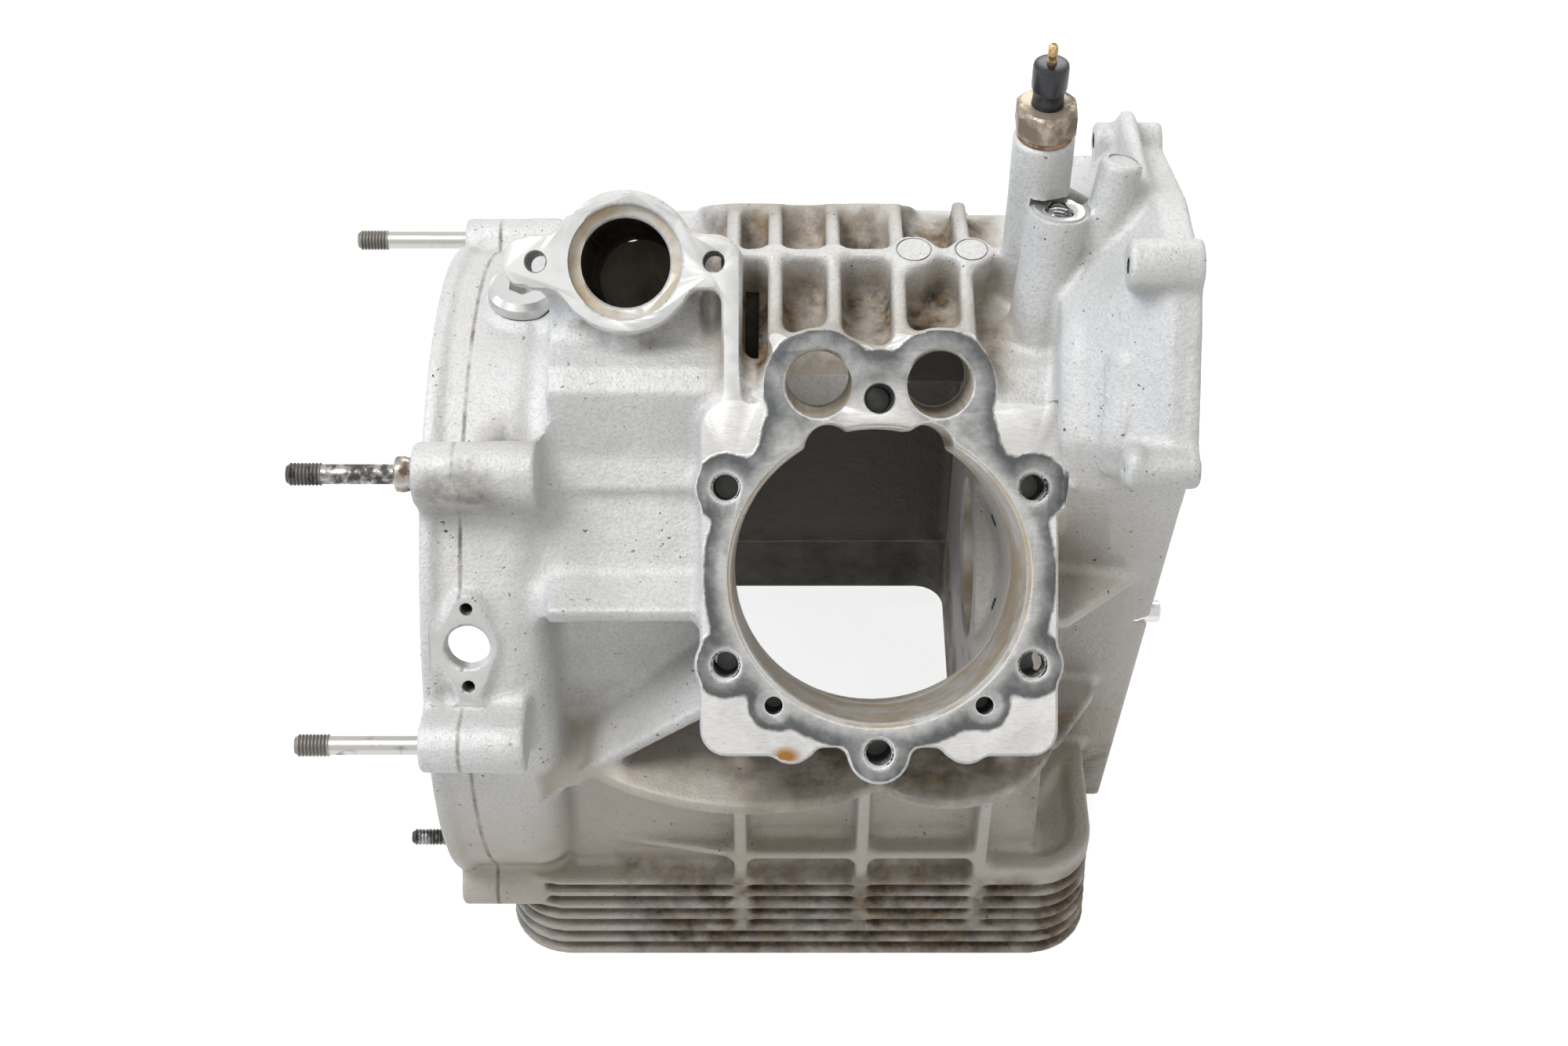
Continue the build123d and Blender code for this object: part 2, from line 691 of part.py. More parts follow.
with BuildPart() as crankcase:
    # Main body, drawn across the crankshaft
    with BuildSketch(section_plane(bell_back_x)):
        with BuildLine():
            Polyline(
                (-skirt_core_y, sump_face_z),
                (-skirt_core_y, fin_top_z),
                (-side_wall_y, 28),
                (-78, 46),
                (-47, 134),
                (-39, valley_floor_z),
                (0, valley_floor_z),
                (0, sump_face_z),
                close=True,
            )
        make_face()
        mirror(about=Plane.YZ)
    extrude(amount=body_front_x - bell_back_x)

    # Both banks
    add(bank.part.moved(Location((near_bank_x, 0, 0))))
    add(far_bank.moved(Location((far_bank_x, 0, 0))))

    # Rear shoulders
    with BuildSketch(section_plane(bell_back_x)):
        with BuildLine():
            Polyline(
                (0, rear_top_z),
                (-12, rear_top_z),
                (-32, 134),
                (-63.5, 103.5),
                (-61.5, 101.5),
                (-83, 80),
                (-60, 64),
                (0, 64),
                close=True,
            )
        make_face()
        mirror(about=Plane.YZ)
    extrude(amount=rear_body_end_x - bell_back_x)

    # Bell housing: a drum about the crank axis with a raised rim and a rounded back
    with BuildSketch(Plane.XY):
        with BuildLine():
            shoulder_x = bell_back_x - bell_shoulder_r
            Polyline(
                (bell_back_x, 0),
                (bell_flange_x, 0),
                (bell_flange_x, bell_rim_r),
                (bell_flange_x + bell_rim_thickness, bell_rim_r),
                (bell_flange_x + bell_rim_thickness, bell_shell_r),
                (shoulder_x, bell_shell_r),
            )
            RadiusArc(
                (shoulder_x, bell_shell_r), (bell_back_x, bell_shell_r - bell_shoulder_r), bell_shoulder_r
            )
            Line((bell_back_x, bell_shell_r - bell_shoulder_r), (bell_back_x, 0))
        make_face()
    revolve(axis=Axis.X)
    for angle, circle_r, boss_r, end_x in bell_bosses:
        with BuildSketch(section_plane(bell_flange_x)):
            with Locations(ring_point(circle_r, angle)):
                Circle(boss_r)
            with Locations(Location((0, 0), angle)):
                with Locations((circle_r - boss_r, 0)):
                    Rectangle(2 * boss_r, 2 * boss_r)
        extrude(amount=end_x - bell_flange_x)

    # Sump skirt: core and fins
    skirt_length = sump_front_x - sump_rear_x
    skirt_x = (sump_front_x + sump_rear_x) / 2
    with BuildSketch(Plane.XY.offset(sump_face_z)):
        with Locations((skirt_x, 0)):
            RectangleRounded(skirt_length - 2 * fin_depth, 2 * skirt_core_y, sump_corner_r - fin_depth / 2)
    extrude(amount=fin_top_z - sump_face_z)
    for i in range(fin_count):
        inset = i * fin_rake
        with BuildSketch(Plane.XY.offset(sump_face_z + i * fin_pitch)):
            with Locations((skirt_x, 0)):
                RectangleRounded(
                    skirt_length - 2 * inset, 2 * (sump_half_width - inset), sump_corner_r - inset
                )
        extrude(amount=fin_t)

    # Rim round the pocket on the skirt's front end
    with BuildSketch(Plane.XY.offset(fin_top_z)):
        with Locations((skirt_x, 0)):
            rim_size = (skirt_length - 2 * inset, 2 * (sump_half_width - inset))
            rim_r = sump_corner_r - inset
            RectangleRounded(*rim_size, rim_r)
            RectangleRounded(
                rim_size[0] - 2 * skirt_rim_t,
                rim_size[1] - 2 * skirt_rim_t,
                rim_r - skirt_rim_t,
                mode=Mode.SUBTRACT,
            )
        with Locations(((skirt_rib_x[2] + sump_front_x) / 2, 0)):
            Rectangle(sump_front_x - skirt_rib_x[2], 2 * sump_half_width, mode=Mode.INTERSECT)
    extrude(amount=skirt_rim_z - fin_top_z)

    add(timing_chest.part)
    add(plate(crown_plate, crown_plate_x, crown_plate_t))

    # Curved shelves at the foot of each bank
    for side, bank_x in ((-1, near_bank_x), (1, far_bank_x)):
        with BuildSketch(Plane.XY.offset(shelf_z - plate_t)):
            with BuildLine():
                rear = (bell_back_x + 5, side * (shelf_reach - 20))
                waist = (bank_x + 2, side * (shelf_reach - 10))
                Line((bell_back_x + 2, side * 80), rear)
                ThreePointArc(rear, (bank_x - 51, side * shelf_reach), waist)
                ThreePointArc(
                    waist, (bank_x + 28, side * (shelf_reach - 2)), (shelf_front_x, side * shelf_front_y)
                )
                Polyline(
                    (shelf_front_x, side * shelf_front_y),
                    (shelf_front_x, side * 60),
                    (bell_back_x + 2, side * 60),
                )
                Line((bell_back_x + 2, side * 60), (bell_back_x + 2, side * 80))
            make_face()
        extrude(amount=plate_t)
        # The slanting gusset from the deck pad down to the bell housing
        with BuildSketch(Plane.XZ.offset(-side * 66)):
            with BuildLine():
                block_x = bank_x - deck_half_width
                Polyline((block_x + 6, 50), (block_x + 6, 43), (-81, -4), (-81, 3), close=True)
            make_face()
        extrude(amount=-side * 45)
    add(near_webs)
    add(far_webs)

    # Valley ribs, ridge and posts
    add(valley_webs)
    add(valley_posts.part)

    # Distributor mount, its neck, and the machined strip that ties it to the deck
    with BuildSketch(deck):
        with Locations((distributor_x, distributor_up)):
            Circle(distributor_ring_r)
            SlotCenterToCenter(2 * distributor_ear_spread, 2 * distributor_ear_r)
    extrude(amount=-distributor_flange_t)
    with BuildSketch(deck.offset(1 - distributor_flange_t)):
        with Locations((distributor_x, distributor_up)):
            Circle(distributor_neck_r)
    extrude(amount=-distributor_neck_length)
    with BuildSketch(deck):
        with Locations((strip_x, (deck_up + distributor_up) / 2)):
            Rectangle(strip_t, distributor_up - deck_up + 8)
    extrude(amount=-44)

    # Boss under the blanking plug and the pad of the inspection hole on the bell housing
    with BuildSketch(Plane.XY.offset(100)):
        with Locations((plug_x, plug_y)):
            Circle(plug_r + 1.5)
    extrude(amount=plug_seat_z - 100)
    with BuildSketch(inspection_plane):
        Circle(inspection_pad_r)
        with Locations((0, inspection_screw_spread), (0, -inspection_screw_spread)):
            Circle(inspection_end_r)
        make_hull()
    extrude(amount=6 + inspection_pad_height)

    # Everything is level with the sump face, the bell housing too
    split(bisect_by=Plane.XY.offset(sump_face_z), keep=Keep.TOP)

    # The hollows come out in one cut
    add(hollows.part, mode=Mode.SUBTRACT)

crankcase.part.label = "crankcase"
export_step(crankcase.part, "parts/crankcase.step")


def rearward(x, y, z):
    """A plane at a point of the bell flange that faces the rear."""
    return Plane(origin=(x, y, z), x_dir=(0, 1, 0), z_dir=(-1, 0, 0))


# Bell housing studs: a thread in the boss, a thinner shank and a threaded end
stud_names = ("bell_stud_far", "bell_stud_upper", "bell_stud_lower")
for stud_name, (angle, circle_r, boss_r, end_x) in zip(stud_names, bell_stud_bosses):
    seat_x = bell_flange_x + bell_stud_seat
    shank = seat_x - bell_stud_tip_x - bell_stud_seat - bell_stud_thread_length
    with BuildPart() as bell_stud:
        base = rearward(seat_x, *ring_point(circle_r, angle))
        for start, length, diameter in (
            (0, bell_stud_seat, bell_stud_d),
            (bell_stud_seat, shank, bell_stud_shank_d),
            (bell_stud_seat + shank, bell_stud_thread_length, bell_stud_d),
        ):
            with BuildSketch(base.offset(start)):
                Circle(diameter / 2)
            extrude(amount=length)
        chamfer(bell_stud.faces().sort_by(Axis.X)[0].edges(), stud_bevel)
    bell_stud.part.label = stud_name
    export_step(bell_stud.part, f"parts/{stud_name}.step")

# The short thin stud low on the near side of the flange
with BuildPart() as small_stud:
    small_seat_x = bell_flange_x + bell_stud_seat
    with BuildSketch(rearward(small_seat_x, *ring_point(small_stud_circle_r, small_stud_angle))):
        Circle(small_stud_d / 2)
    extrude(amount=small_seat_x - small_stud_tip_x)
    chamfer(small_stud.faces().sort_by(Axis.X)[0].edges(), stud_bevel)
small_stud.part.label = "bell_stud_short"
export_step(small_stud.part, "parts/bell_stud_short.step")

# Locating bush round the upper stud
with BuildPart() as locating_bush:
    with BuildSketch(rearward(bell_flange_x + bush_seat, *ring_point(bush_circle_r, bush_angle))):
        Circle(bush_r)
        Circle(bell_stud_d / 2, mode=Mode.SUBTRACT)
    extrude(amount=bell_flange_x + bush_seat - bush_end_x)
    chamfer(locating_bush.faces().sort_by(Axis.X)[0].outer_wire().edges(), stud_bevel)
locating_bush.part.label = "locating_bush"
export_step(locating_bush.part, "parts/locating_bush.step")

# Screwed blanking plug on top of the bell housing, with a hexagon socket
with BuildPart() as blanking_plug:
    with BuildSketch(Plane.XY.offset(plug_seat_z - plug_thread_length)):
        with Locations((plug_x, plug_y)):
            Circle(plug_thread_r)
    extrude(amount=plug_thread_length)
    with BuildSketch(Plane.XY.offset(plug_seat_z)):
        with Locations((plug_x, plug_y)):
            Circle(plug_r)
    extrude(amount=plug_head_t)
    chamfer(blanking_plug.faces().sort_by(Axis.Z)[-1].edges(), plug_bevel)
    with BuildSketch(Plane.XY.offset(plug_seat_z + plug_head_t)):
        with Locations((plug_x, plug_y)):
            RegularPolygon(plug_socket_flats / 2, 6, major_radius=False)
    extrude(amount=-plug_socket_depth, mode=Mode.SUBTRACT)
blanking_plug.part.label = "blanking_plug"
export_step(blanking_plug.part, "parts/blanking_plug.step")

# Oil pressure sender: sealing washer, hexagon body, insulator and terminal pin
with BuildPart() as sender_washer:
    with BuildSketch(Plane.XY.offset(pillar_top_z)):
        with Locations((sender_x, 0)):
            Circle(sender_washer_r)
            Circle(sender_thread_d / 2, mode=Mode.SUBTRACT)
    extrude(amount=sender_washer_t)
    chamfer(sender_washer.faces().sort_by(Axis.Z)[-1].outer_wire().edges(), sender_washer_t / 4)
sender_washer.part.label = "sender_washer"
export_step(sender_washer.part, "parts/sender_washer.step")

sender_seat_z = pillar_top_z + sender_washer_t
sender_top_z = sender_seat_z + sender_hex_h
with BuildPart() as sender_body:
    with BuildSketch(Plane.XY.offset(pillar_top_z - sender_thread_depth)):
        with Locations((sender_x, 0)):
            Circle(sender_thread_d / 2)
    extrude(amount=sender_thread_depth + sender_washer_t)
    with BuildSketch(Plane.XY.offset(sender_seat_z)):
        with Locations((sender_x, 0)):
            RegularPolygon(sender_flats / 2, 6, major_radius=False, rotation=sender_turn)
    extrude(amount=sender_hex_h)
    # The corners of the hexagon are turned off at a slant
    with BuildSketch(Plane.XZ):
        turned_r = sender_flats / 2 - 0.6
        with BuildLine():
            Polyline(
                (sender_x + turned_r, sender_top_z),
                (sender_x + turned_r + 3.5, sender_top_z),
                (sender_x + turned_r + 3.5, sender_top_z - 2.3),
                close=True,
            )
        make_face()
    revolve(axis=Axis((sender_x, 0, 0), (0, 0, 1)), mode=Mode.SUBTRACT)
    with BuildSketch(Plane.XY.offset(sender_top_z)):
        with Locations((sender_x, 0)):
            Circle(insulator_foot_r)
    extrude(amount=-insulator_seat, mode=Mode.SUBTRACT)
sender_body.part.label = "sender_body"
export_step(sender_body.part, "parts/sender_body.step")

insulator_z = sender_top_z - insulator_seat
insulator_top_z = sender_top_z + insulator_h
groove_z = sender_top_z + insulator_h * 0.42
with BuildPart() as sender_insulator:
    with BuildSketch(Plane.XZ):
        with BuildLine():
            Polyline(
                (sender_x + terminal_r, insulator_z),
                (sender_x + insulator_foot_r, insulator_z),
                (sender_x + insulator_foot_r, groove_z - 1),
                (sender_x + insulator_foot_r - 0.8, groove_z),
                (sender_x + insulator_r, groove_z + 1.2),
                (sender_x + insulator_r, insulator_top_z - 1.2),
                (sender_x + insulator_r - 1.2, insulator_top_z),
                (sender_x + terminal_r, insulator_top_z),
                close=True,
            )
        make_face()
    revolve(axis=Axis((sender_x, 0, 0), (0, 0, 1)))
sender_insulator.part.label = "sender_insulator"
export_step(sender_insulator.part, "parts/sender_insulator.step")

with BuildPart() as sender_terminal:
    with BuildSketch(Plane.XY.offset(insulator_z)):
        with Locations((sender_x, 0)):
            Circle(terminal_r)
    extrude(amount=insulator_top_z - insulator_z + terminal_stand)
    chamfer(sender_terminal.faces().sort_by(Axis.Z)[-1].edges(), terminal_r * 0.45)
sender_terminal.part.label = "sender_terminal"
export_step(sender_terminal.part, "parts/sender_terminal.step")

# Wire thread insert in the leaning boss
with BuildPart() as thread_insert:
    with BuildSketch(leaning_plane(insert_top, insert_foot).offset(insert_sink)):
        Circle(insert_outer_d / 2)
        Circle(insert_d / 2, mode=Mode.SUBTRACT)
    extrude(amount=insert_length - insert_sink)
thread_insert.part.label = "thread_insert"
export_step(thread_insert.part, "parts/thread_insert.step")

# Hollow dowel in the timing face
with BuildPart() as front_dowel:
    with BuildSketch(section_plane(timing_face_x - dowel_seat)):
        with Locations(dowel_point):
            Circle(dowel_d / 2)
            Circle(dowel_d / 2 - dowel_wall, mode=Mode.SUBTRACT)
    extrude(amount=dowel_seat + dowel_stand)
    chamfer(front_dowel.faces().sort_by(Axis.X)[-1].outer_wire().edges(), dowel_wall / 2)
front_dowel.part.label = "front_dowel"
export_step(front_dowel.part, "parts/front_dowel.step")
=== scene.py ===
import json
import math

import bmesh
import bpy
import numpy as np
from mathutils import Matrix, Vector

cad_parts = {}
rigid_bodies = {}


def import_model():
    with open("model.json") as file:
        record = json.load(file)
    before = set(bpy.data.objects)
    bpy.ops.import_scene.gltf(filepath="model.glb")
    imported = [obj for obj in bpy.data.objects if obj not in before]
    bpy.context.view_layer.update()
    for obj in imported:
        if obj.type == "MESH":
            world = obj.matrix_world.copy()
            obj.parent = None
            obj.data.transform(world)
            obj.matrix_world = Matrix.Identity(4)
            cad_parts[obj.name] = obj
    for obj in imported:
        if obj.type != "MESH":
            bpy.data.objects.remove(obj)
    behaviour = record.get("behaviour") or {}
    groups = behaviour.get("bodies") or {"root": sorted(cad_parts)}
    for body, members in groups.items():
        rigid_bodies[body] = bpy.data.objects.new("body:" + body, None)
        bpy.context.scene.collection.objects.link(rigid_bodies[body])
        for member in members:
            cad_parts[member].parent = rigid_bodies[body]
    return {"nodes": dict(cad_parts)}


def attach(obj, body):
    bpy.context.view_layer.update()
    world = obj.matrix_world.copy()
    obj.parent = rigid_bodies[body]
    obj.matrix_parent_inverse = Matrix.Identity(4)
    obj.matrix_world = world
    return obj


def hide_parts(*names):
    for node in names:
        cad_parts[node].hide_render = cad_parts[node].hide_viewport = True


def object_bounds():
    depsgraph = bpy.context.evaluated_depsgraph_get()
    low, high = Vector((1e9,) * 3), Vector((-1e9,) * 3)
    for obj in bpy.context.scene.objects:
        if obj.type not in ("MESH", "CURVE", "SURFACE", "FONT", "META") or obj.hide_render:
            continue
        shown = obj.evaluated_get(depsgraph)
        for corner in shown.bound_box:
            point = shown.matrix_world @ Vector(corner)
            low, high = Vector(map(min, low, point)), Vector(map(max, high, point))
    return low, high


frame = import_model()
cad_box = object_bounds()
scene = bpy.context.scene
scene.view_settings.view_transform = "Standard"

# Camera, looking down the near cylinder bore.
# The photograph's size is 1999 x 1333.
camera = bpy.data.objects.new("camera", bpy.data.cameras.new("camera"))
scene.collection.objects.link(camera)
camera.data.sensor_width = 36
camera.data.lens = 51.5
camera.data.clip_start = 0.01
camera.location = (0, -0.5921, 0.6546)
camera.rotation_euler = (math.radians(43), 0, 0)
scene.camera = camera


# Studio: a pale floor under the sump face, a white surround and soft lamps.
# The surround is white to the camera and in reflections, and plain to the rest.
def new_material(name):
    material = bpy.data.materials.new(name)
    material.use_nodes = True
    tree = material.node_tree
    return material, tree, tree.nodes["Principled BSDF"]


def white_rays(tree):
    """1 on camera, glossy and transmission rays, else 0."""
    path = tree.nodes.new("ShaderNodeLightPath")
    value = path.outputs["Is Camera Ray"]
    for kind in ("Is Glossy Ray", "Is Transmission Ray"):
        either = tree.nodes.new("ShaderNodeMath")
        either.operation = "MAXIMUM"
        tree.links.new(value, either.inputs[0])
        tree.links.new(path.outputs[kind], either.inputs[1])
        value = either.outputs[0]
    return value


bm = bmesh.new()
bmesh.ops.create_grid(bm, x_segments=1, y_segments=1, size=4)
bmesh.ops.translate(bm, vec=(0, 0, cad_box[0][2] - 0.0003), verts=bm.verts)
floor = bpy.data.objects.new("floor", bpy.data.meshes.new("floor"))
bm.to_mesh(floor.data)
bm.free()
scene.collection.objects.link(floor)
# Part of the paper's white is its own to the camera, so the shadow on it stays pale
paper, paper_tree, paper_shader = new_material("paper")
paper_shader.inputs["Base Color"].default_value = (0.6, 0.6, 0.6, 1)
paper_shader.inputs["Roughness"].default_value = 0.9
paper_shader.inputs["Specular IOR Level"].default_value = 0.1
paper_shader.inputs["Emission Color"].default_value = (1, 1, 1, 1)
glow = paper_tree.nodes.new("ShaderNodeMath")
glow.operation = "MULTIPLY"
glow.inputs[1].default_value = 0.82
paper_tree.links.new(white_rays(paper_tree), glow.inputs[0])
paper_tree.links.new(glow.outputs[0], paper_shader.inputs["Emission Strength"])
floor.data.materials.append(paper)

world = bpy.data.worlds.new("studio")
scene.world = world
world.use_nodes = True
sky = world.node_tree.nodes["Background"]
sky.inputs["Color"].default_value = (1, 1, 1, 1)
strength = world.node_tree.nodes.new("ShaderNodeMapRange")
strength.inputs["To Min"].default_value = 0.36
strength.inputs["To Max"].default_value = 1
world.node_tree.links.new(white_rays(world.node_tree), strength.inputs["Value"])
world.node_tree.links.new(strength.outputs[0], sky.inputs["Strength"])


def lamp(name, place, size, power, colour=(1, 1, 1)):
    light = bpy.data.lights.new(name, "AREA")
    light.shape = "DISK"
    light.size = size
    light.energy = power
    light.color = colour
    holder = bpy.data.objects.new(name, light)
    holder.location = place
    holder.rotation_euler = (Vector((0, 0, 0.03)) - Vector(place)).to_track_quat("-Z", "Y").to_euler()
    scene.collection.objects.link(holder)


lamp("key", (-0.7, -0.25, 1.5), 0.9, 18)
lamp("window", (-1.5, -0.1, 0.5), 0.8, 5, (0.55, 0.72, 1))
lamp("fill", (1.2, -1.2, 1.2), 1.0, 2)
lamp("back", (0.3, 1.4, 1.1), 0.9, 8)


# Crankcase casting: one piece of sand-cast aluminium.
# Its inner corners are filleted and its edges soft, as poured metal is.
# The machined faces, bores and holes are cut into it afterwards.
mm = 0.001
voxel = 0.85 * mm
cast_triangles = 165000


def cad_copy(node, name):
    """A merged copy of a CAD node, as a new object."""
    copy = bpy.data.objects.new(name, frame["nodes"][node].data.copy())
    scene.collection.objects.link(copy)
    bm = bmesh.new()
    bm.from_mesh(copy.data)
    bmesh.ops.remove_doubles(bm, verts=bm.verts, dist=1e-6)
    bm.to_mesh(copy.data)
    bm.free()
    copy.data.materials.clear()
    return copy


def apply_modifiers(piece):
    graph = bpy.context.evaluated_depsgraph_get()
    mesh = bpy.data.meshes.new_from_object(piece.evaluated_get(graph))
    piece.modifiers.clear()
    piece.data = mesh
    mesh.name = piece.name


def recast(piece):
    """Joins whatever overlaps into one even skin."""
    remesh = piece.modifiers.new("skin", "REMESH")
    remesh.mode = "VOXEL"
    remesh.voxel_size = voxel
    remesh.use_smooth_shade = True
    apply_modifiers(piece)


def shade(piece, angle):
    """Smooth shading, but crisp where the faces turn by more than an angle in degrees."""
    piece.data.polygons.foreach_set("use_smooth", [True] * len(piece.data.polygons))
    piece.data.set_sharp_from_angle(angle=math.radians(angle))


def ramp(values, low, high):
    return np.clip((values - low) / (high - low), 0, 1)


def ball(places, centre, inner, outer):
    """1 within the inner radius of a point, 0 beyond the outer one, in millimetres."""
    away = np.linalg.norm(places / mm - np.array(centre), axis=1)
    return 1 - ramp(away, inner, outer)


def fillet_size(places):
    """The radius of the inner corners, in metres, at each place."""
    x, y, z = places.T / mm
    size = 2.2 - 1.3 * ramp(-z, 64, 69)
    shoulder = ramp(x, -100, -90) * ramp(-x, 66, 74) * ramp(z, -60, -50)
    posts = ball(places, (86, -16, 160), 26, 36)
    return (size + 3.6 * shoulder - 1.0 * posts) * mm


def edge_size(places):
    """The radius of the outer edges, in metres, at each place."""
    x, y, z = places.T / mm
    flank = ball(places, (106, -66, 150), 22, 48) * ramp(-y, 30, 45) * ramp(x, 88, 96)
    return (0.35 + 4 * flank) * mm


def push_skin(piece, distance):
    """Moves the skin along its normals, by a distance that a function gives for each place."""
    count = len(piece.data.vertices)
    places = np.empty(3 * count, dtype=np.float32)
    normals = np.empty(3 * count, dtype=np.float32)
    piece.data.vertices.foreach_get("co", places)
    piece.data.vertex_normals.foreach_get("vector", normals)
    places = places.reshape(-1, 3)
    places = places + normals.reshape(-1, 3) * distance(places)[:, None]
    piece.data.vertices.foreach_set("co", places.astype(np.float32).ravel())
    piece.data.update()


def swell(piece, fillets, edges=0.0):
    """Moves the skin outwards by shares of the fillet size and the edge size."""
    push_skin(piece, lambda places: fillets * fillet_size(places) + edges * edge_size(places))


def stray(places, centre, outer):
    """Distance past a radius about a point or a line of points, in millimetres."""
    points = np.array(centre, dtype=float).reshape(-1, 3)
    nearest = np.full(len(places), 1e9)
    for start, end in zip(points, points[1:] if len(points) > 1 else points):
        along = end - start
        share = np.clip((places / mm - start) @ along / max(along @ along, 1e-9), 0, 1)
        nearest = np.minimum(nearest, np.linalg.norm(places / mm - start - share[:, None] * along, axis=1))
    return nearest - outer


def emboss(piece, marks):
    """Raises or sinks the skin along lines; a mark is points, radius, soft edge and height."""

    def rise(places):
        move = np.zeros(len(places))
        for points, radius, soft, height in marks:
            move += height * ramp(-stray(places, points, radius), -soft / 2, soft / 2)
        return move * mm

    push_skin(piece, rise)


def add_form(bm):
    """Adds a shape to the casting before its skin is made."""
    bm.from_mesh(casting.data)
    bm.to_mesh(casting.data)
    bm.free()


def rod(radius, length, segments):
    """A rod along z with its middle at the origin, in millimetres; six segments make a hexagon."""
    bm = bmesh.new()
    bmesh.ops.create_cone(
        bm, cap_ends=True, segments=segments, radius1=radius * mm, radius2=radius * mm, depth=length * mm
    )
    return bm


def post(face, point, radius, low, high):
    """A round post between two heights over a face."""
    bm = rod(radius, high - low, 48)
    at = Matrix.Translation(Vector((*point, (low + high) / 2)) * mm)
    bmesh.ops.transform(bm, matrix=face @ at, verts=bm.verts)
    add_form(bm)


def slab(face, points, low, high):
    """A plate of some outline between two heights over a face."""
    bm = bmesh.new()
    outline = bm.faces.new([bm.verts.new((x * mm, y * mm, low * mm)) for x, y in points])
    risen = bmesh.ops.extrude_face_region(bm, geom=[outline])["geom"]
    top = [item for item in risen if isinstance(item, bmesh.types.BMVert)]
    bmesh.ops.translate(bm, vec=(0, 0, (high - low) * mm), verts=top)
    bmesh.ops.transform(bm, matrix=face, verts=bm.verts)
    bmesh.ops.recalc_face_normals(bm, faces=bm.faces)
    add_form(bm)


def plane_at(origin, across, out):
    """A frame in metres: its z leaves the face and its x runs across it."""
    out = Vector(out).normalized()
    across = (Vector(across) - out * out.dot(Vector(across))).normalized()
    turn = Matrix((across, out.cross(across), out)).transposed().to_4x4()
    return Matrix.Translation(Vector(origin) * mm) @ turn


lean = math.radians(45)
deck_height = 130
near_x, far_x = 32, 8
# The distributor mount on the near deck's plane, and how far the screws of its ears stand off
mount = (-85.3, 105.3)
ear = 29.8
near_deck = plane_at(
    (near_x, -deck_height * math.sin(lean), deck_height * math.cos(lean)), (1, 0, 0), (0, -1, 1)
)
far_deck = plane_at(
    (far_x, deck_height * math.sin(lean), deck_height * math.cos(lean)), (-1, 0, 0), (0, 1, 1)
)

casting = cad_copy("crankcase", "casting")
# Web from the sender pillar to the crown of the timing chest
crown_web = plane_at((90, 4, 0), (1, 0.25, 0), (0, -1, 0))
slab(crown_web, ((-3, 150), (-3, 196), (4, 182), (13, 176), (30, 178), (30, 150)), -1.75, 1.75)
# Deeper screw bosses under the ears of the distributor mount, and a longer neck under its ring
for side in (-1, 1):
    post(near_deck, (mount[0] + ear * side, mount[1]), 8, -20, -2)
post(near_deck, mount, 19, -62, -30)
# Shallow floor of the pockets at the skirt's front corners
for side in (-1, 1):
    pocket = ((86, 40), (86, 97), (100, 97), (109, 91), (114, 82), (114, 40))
    slab(Matrix(), [(x, y * side) for x, y in pocket], -72.5, -62.5)
# Full wall beside the top corners of the bay behind the rear main wall
bay = plane_at((-58, 0, 0), (0, 1, 0), (1, 0, 0))
for side in (-1, 1):
    bay_corner = ((69, 50), (76.4, 50), (72.9, 60), (71.7, 63.5), (69, 63.5))
    slab(bay, [(y * side, z) for y, z in bay_corner], -15, 15)
# The deck pads run on between their tappet domes
for deck in (near_deck, far_deck):
    slab(deck, ((-14, 60), (14, 60), (9, 80), (0, 77), (-9, 80)), -13, 0)
recast(casting)
swell(casting, 1)
recast(casting)
swell(casting, -1, -1)
recast(casting)
swell(casting, 0, 1)
smooth = casting.modifiers.new("sand", "SMOOTH")
smooth.factor = 0.5
smooth.iterations = 1
recast(casting)
# Rough raised patch and flash on the timing chest, and a parting line round the upper boss
emboss(
    casting,
    (
        (((107.5, -62, 160.5), (108, -72, 148), (107.2, -79, 132)), 4.6, 1.2, 0.9),
        (((107.2, -79, 132), (110, -76, 106), (112, -72, 82)), 1.2, 2.5, 0.6),
        (((96, -77, 121),), 1.6, 2.0, 1.3),
        (((-105, -64, 128), (-105, -77, 122), (-105, -80, 108)), 1.2, 1.4, 0.45),
    ),
)
thin = casting.modifiers.new("thin", "DECIMATE")
thin.ratio = min(1, cast_triangles / (2 * len(casting.data.polygons)))
apply_modifiers(casting)


# Machining: cutters stand where the tools went through the casting.
# Each leaves its own finish on the faces that it makes.
valley_z, sump_z = 157, -116
timing_x, bell_x = 132.5, -124.4
valley_top = plane_at((0, 0, valley_z), (1, 0, 0), (0, 0, 1))
sump_face = plane_at((0, 0, sump_z), (1, 0, 0), (0, 0, -1))
timing_face = plane_at((timing_x, 0, 0), (0, 1, 0), (1, 0, 0))
bell_face = plane_at((bell_x, 0, 0), (0, -1, 0), (-1, 0, 0))

cutters = bpy.data.collections.new("cutters")
scene.collection.children.link(cutters)


def add_cutter(bm, face, finish):
    bmesh.ops.transform(bm, matrix=face, verts=bm.verts)
    cutter = bpy.data.objects.new("cutter", bpy.data.meshes.new("cutter"))
    bm.to_mesh(cutter.data)
    bm.free()
    cutter.data.materials.append(finish)
    cutters.objects.link(cutter)


def mill(face, finish, low, high, depth=0.25, clear=12):
    """Faces off a rectangle, given by two corners in millimetres."""
    bm = bmesh.new()
    bmesh.ops.create_cube(bm, size=1)
    size = (high[0] - low[0], high[1] - low[1], depth + clear)
    middle = ((high[0] + low[0]) / 2, (high[1] + low[1]) / 2, (clear - depth) / 2)
    bmesh.ops.scale(bm, vec=Vector(size) * mm, verts=bm.verts)
    bmesh.ops.translate(bm, vec=Vector(middle) * mm, verts=bm.verts)
    add_cutter(bm, face, finish)


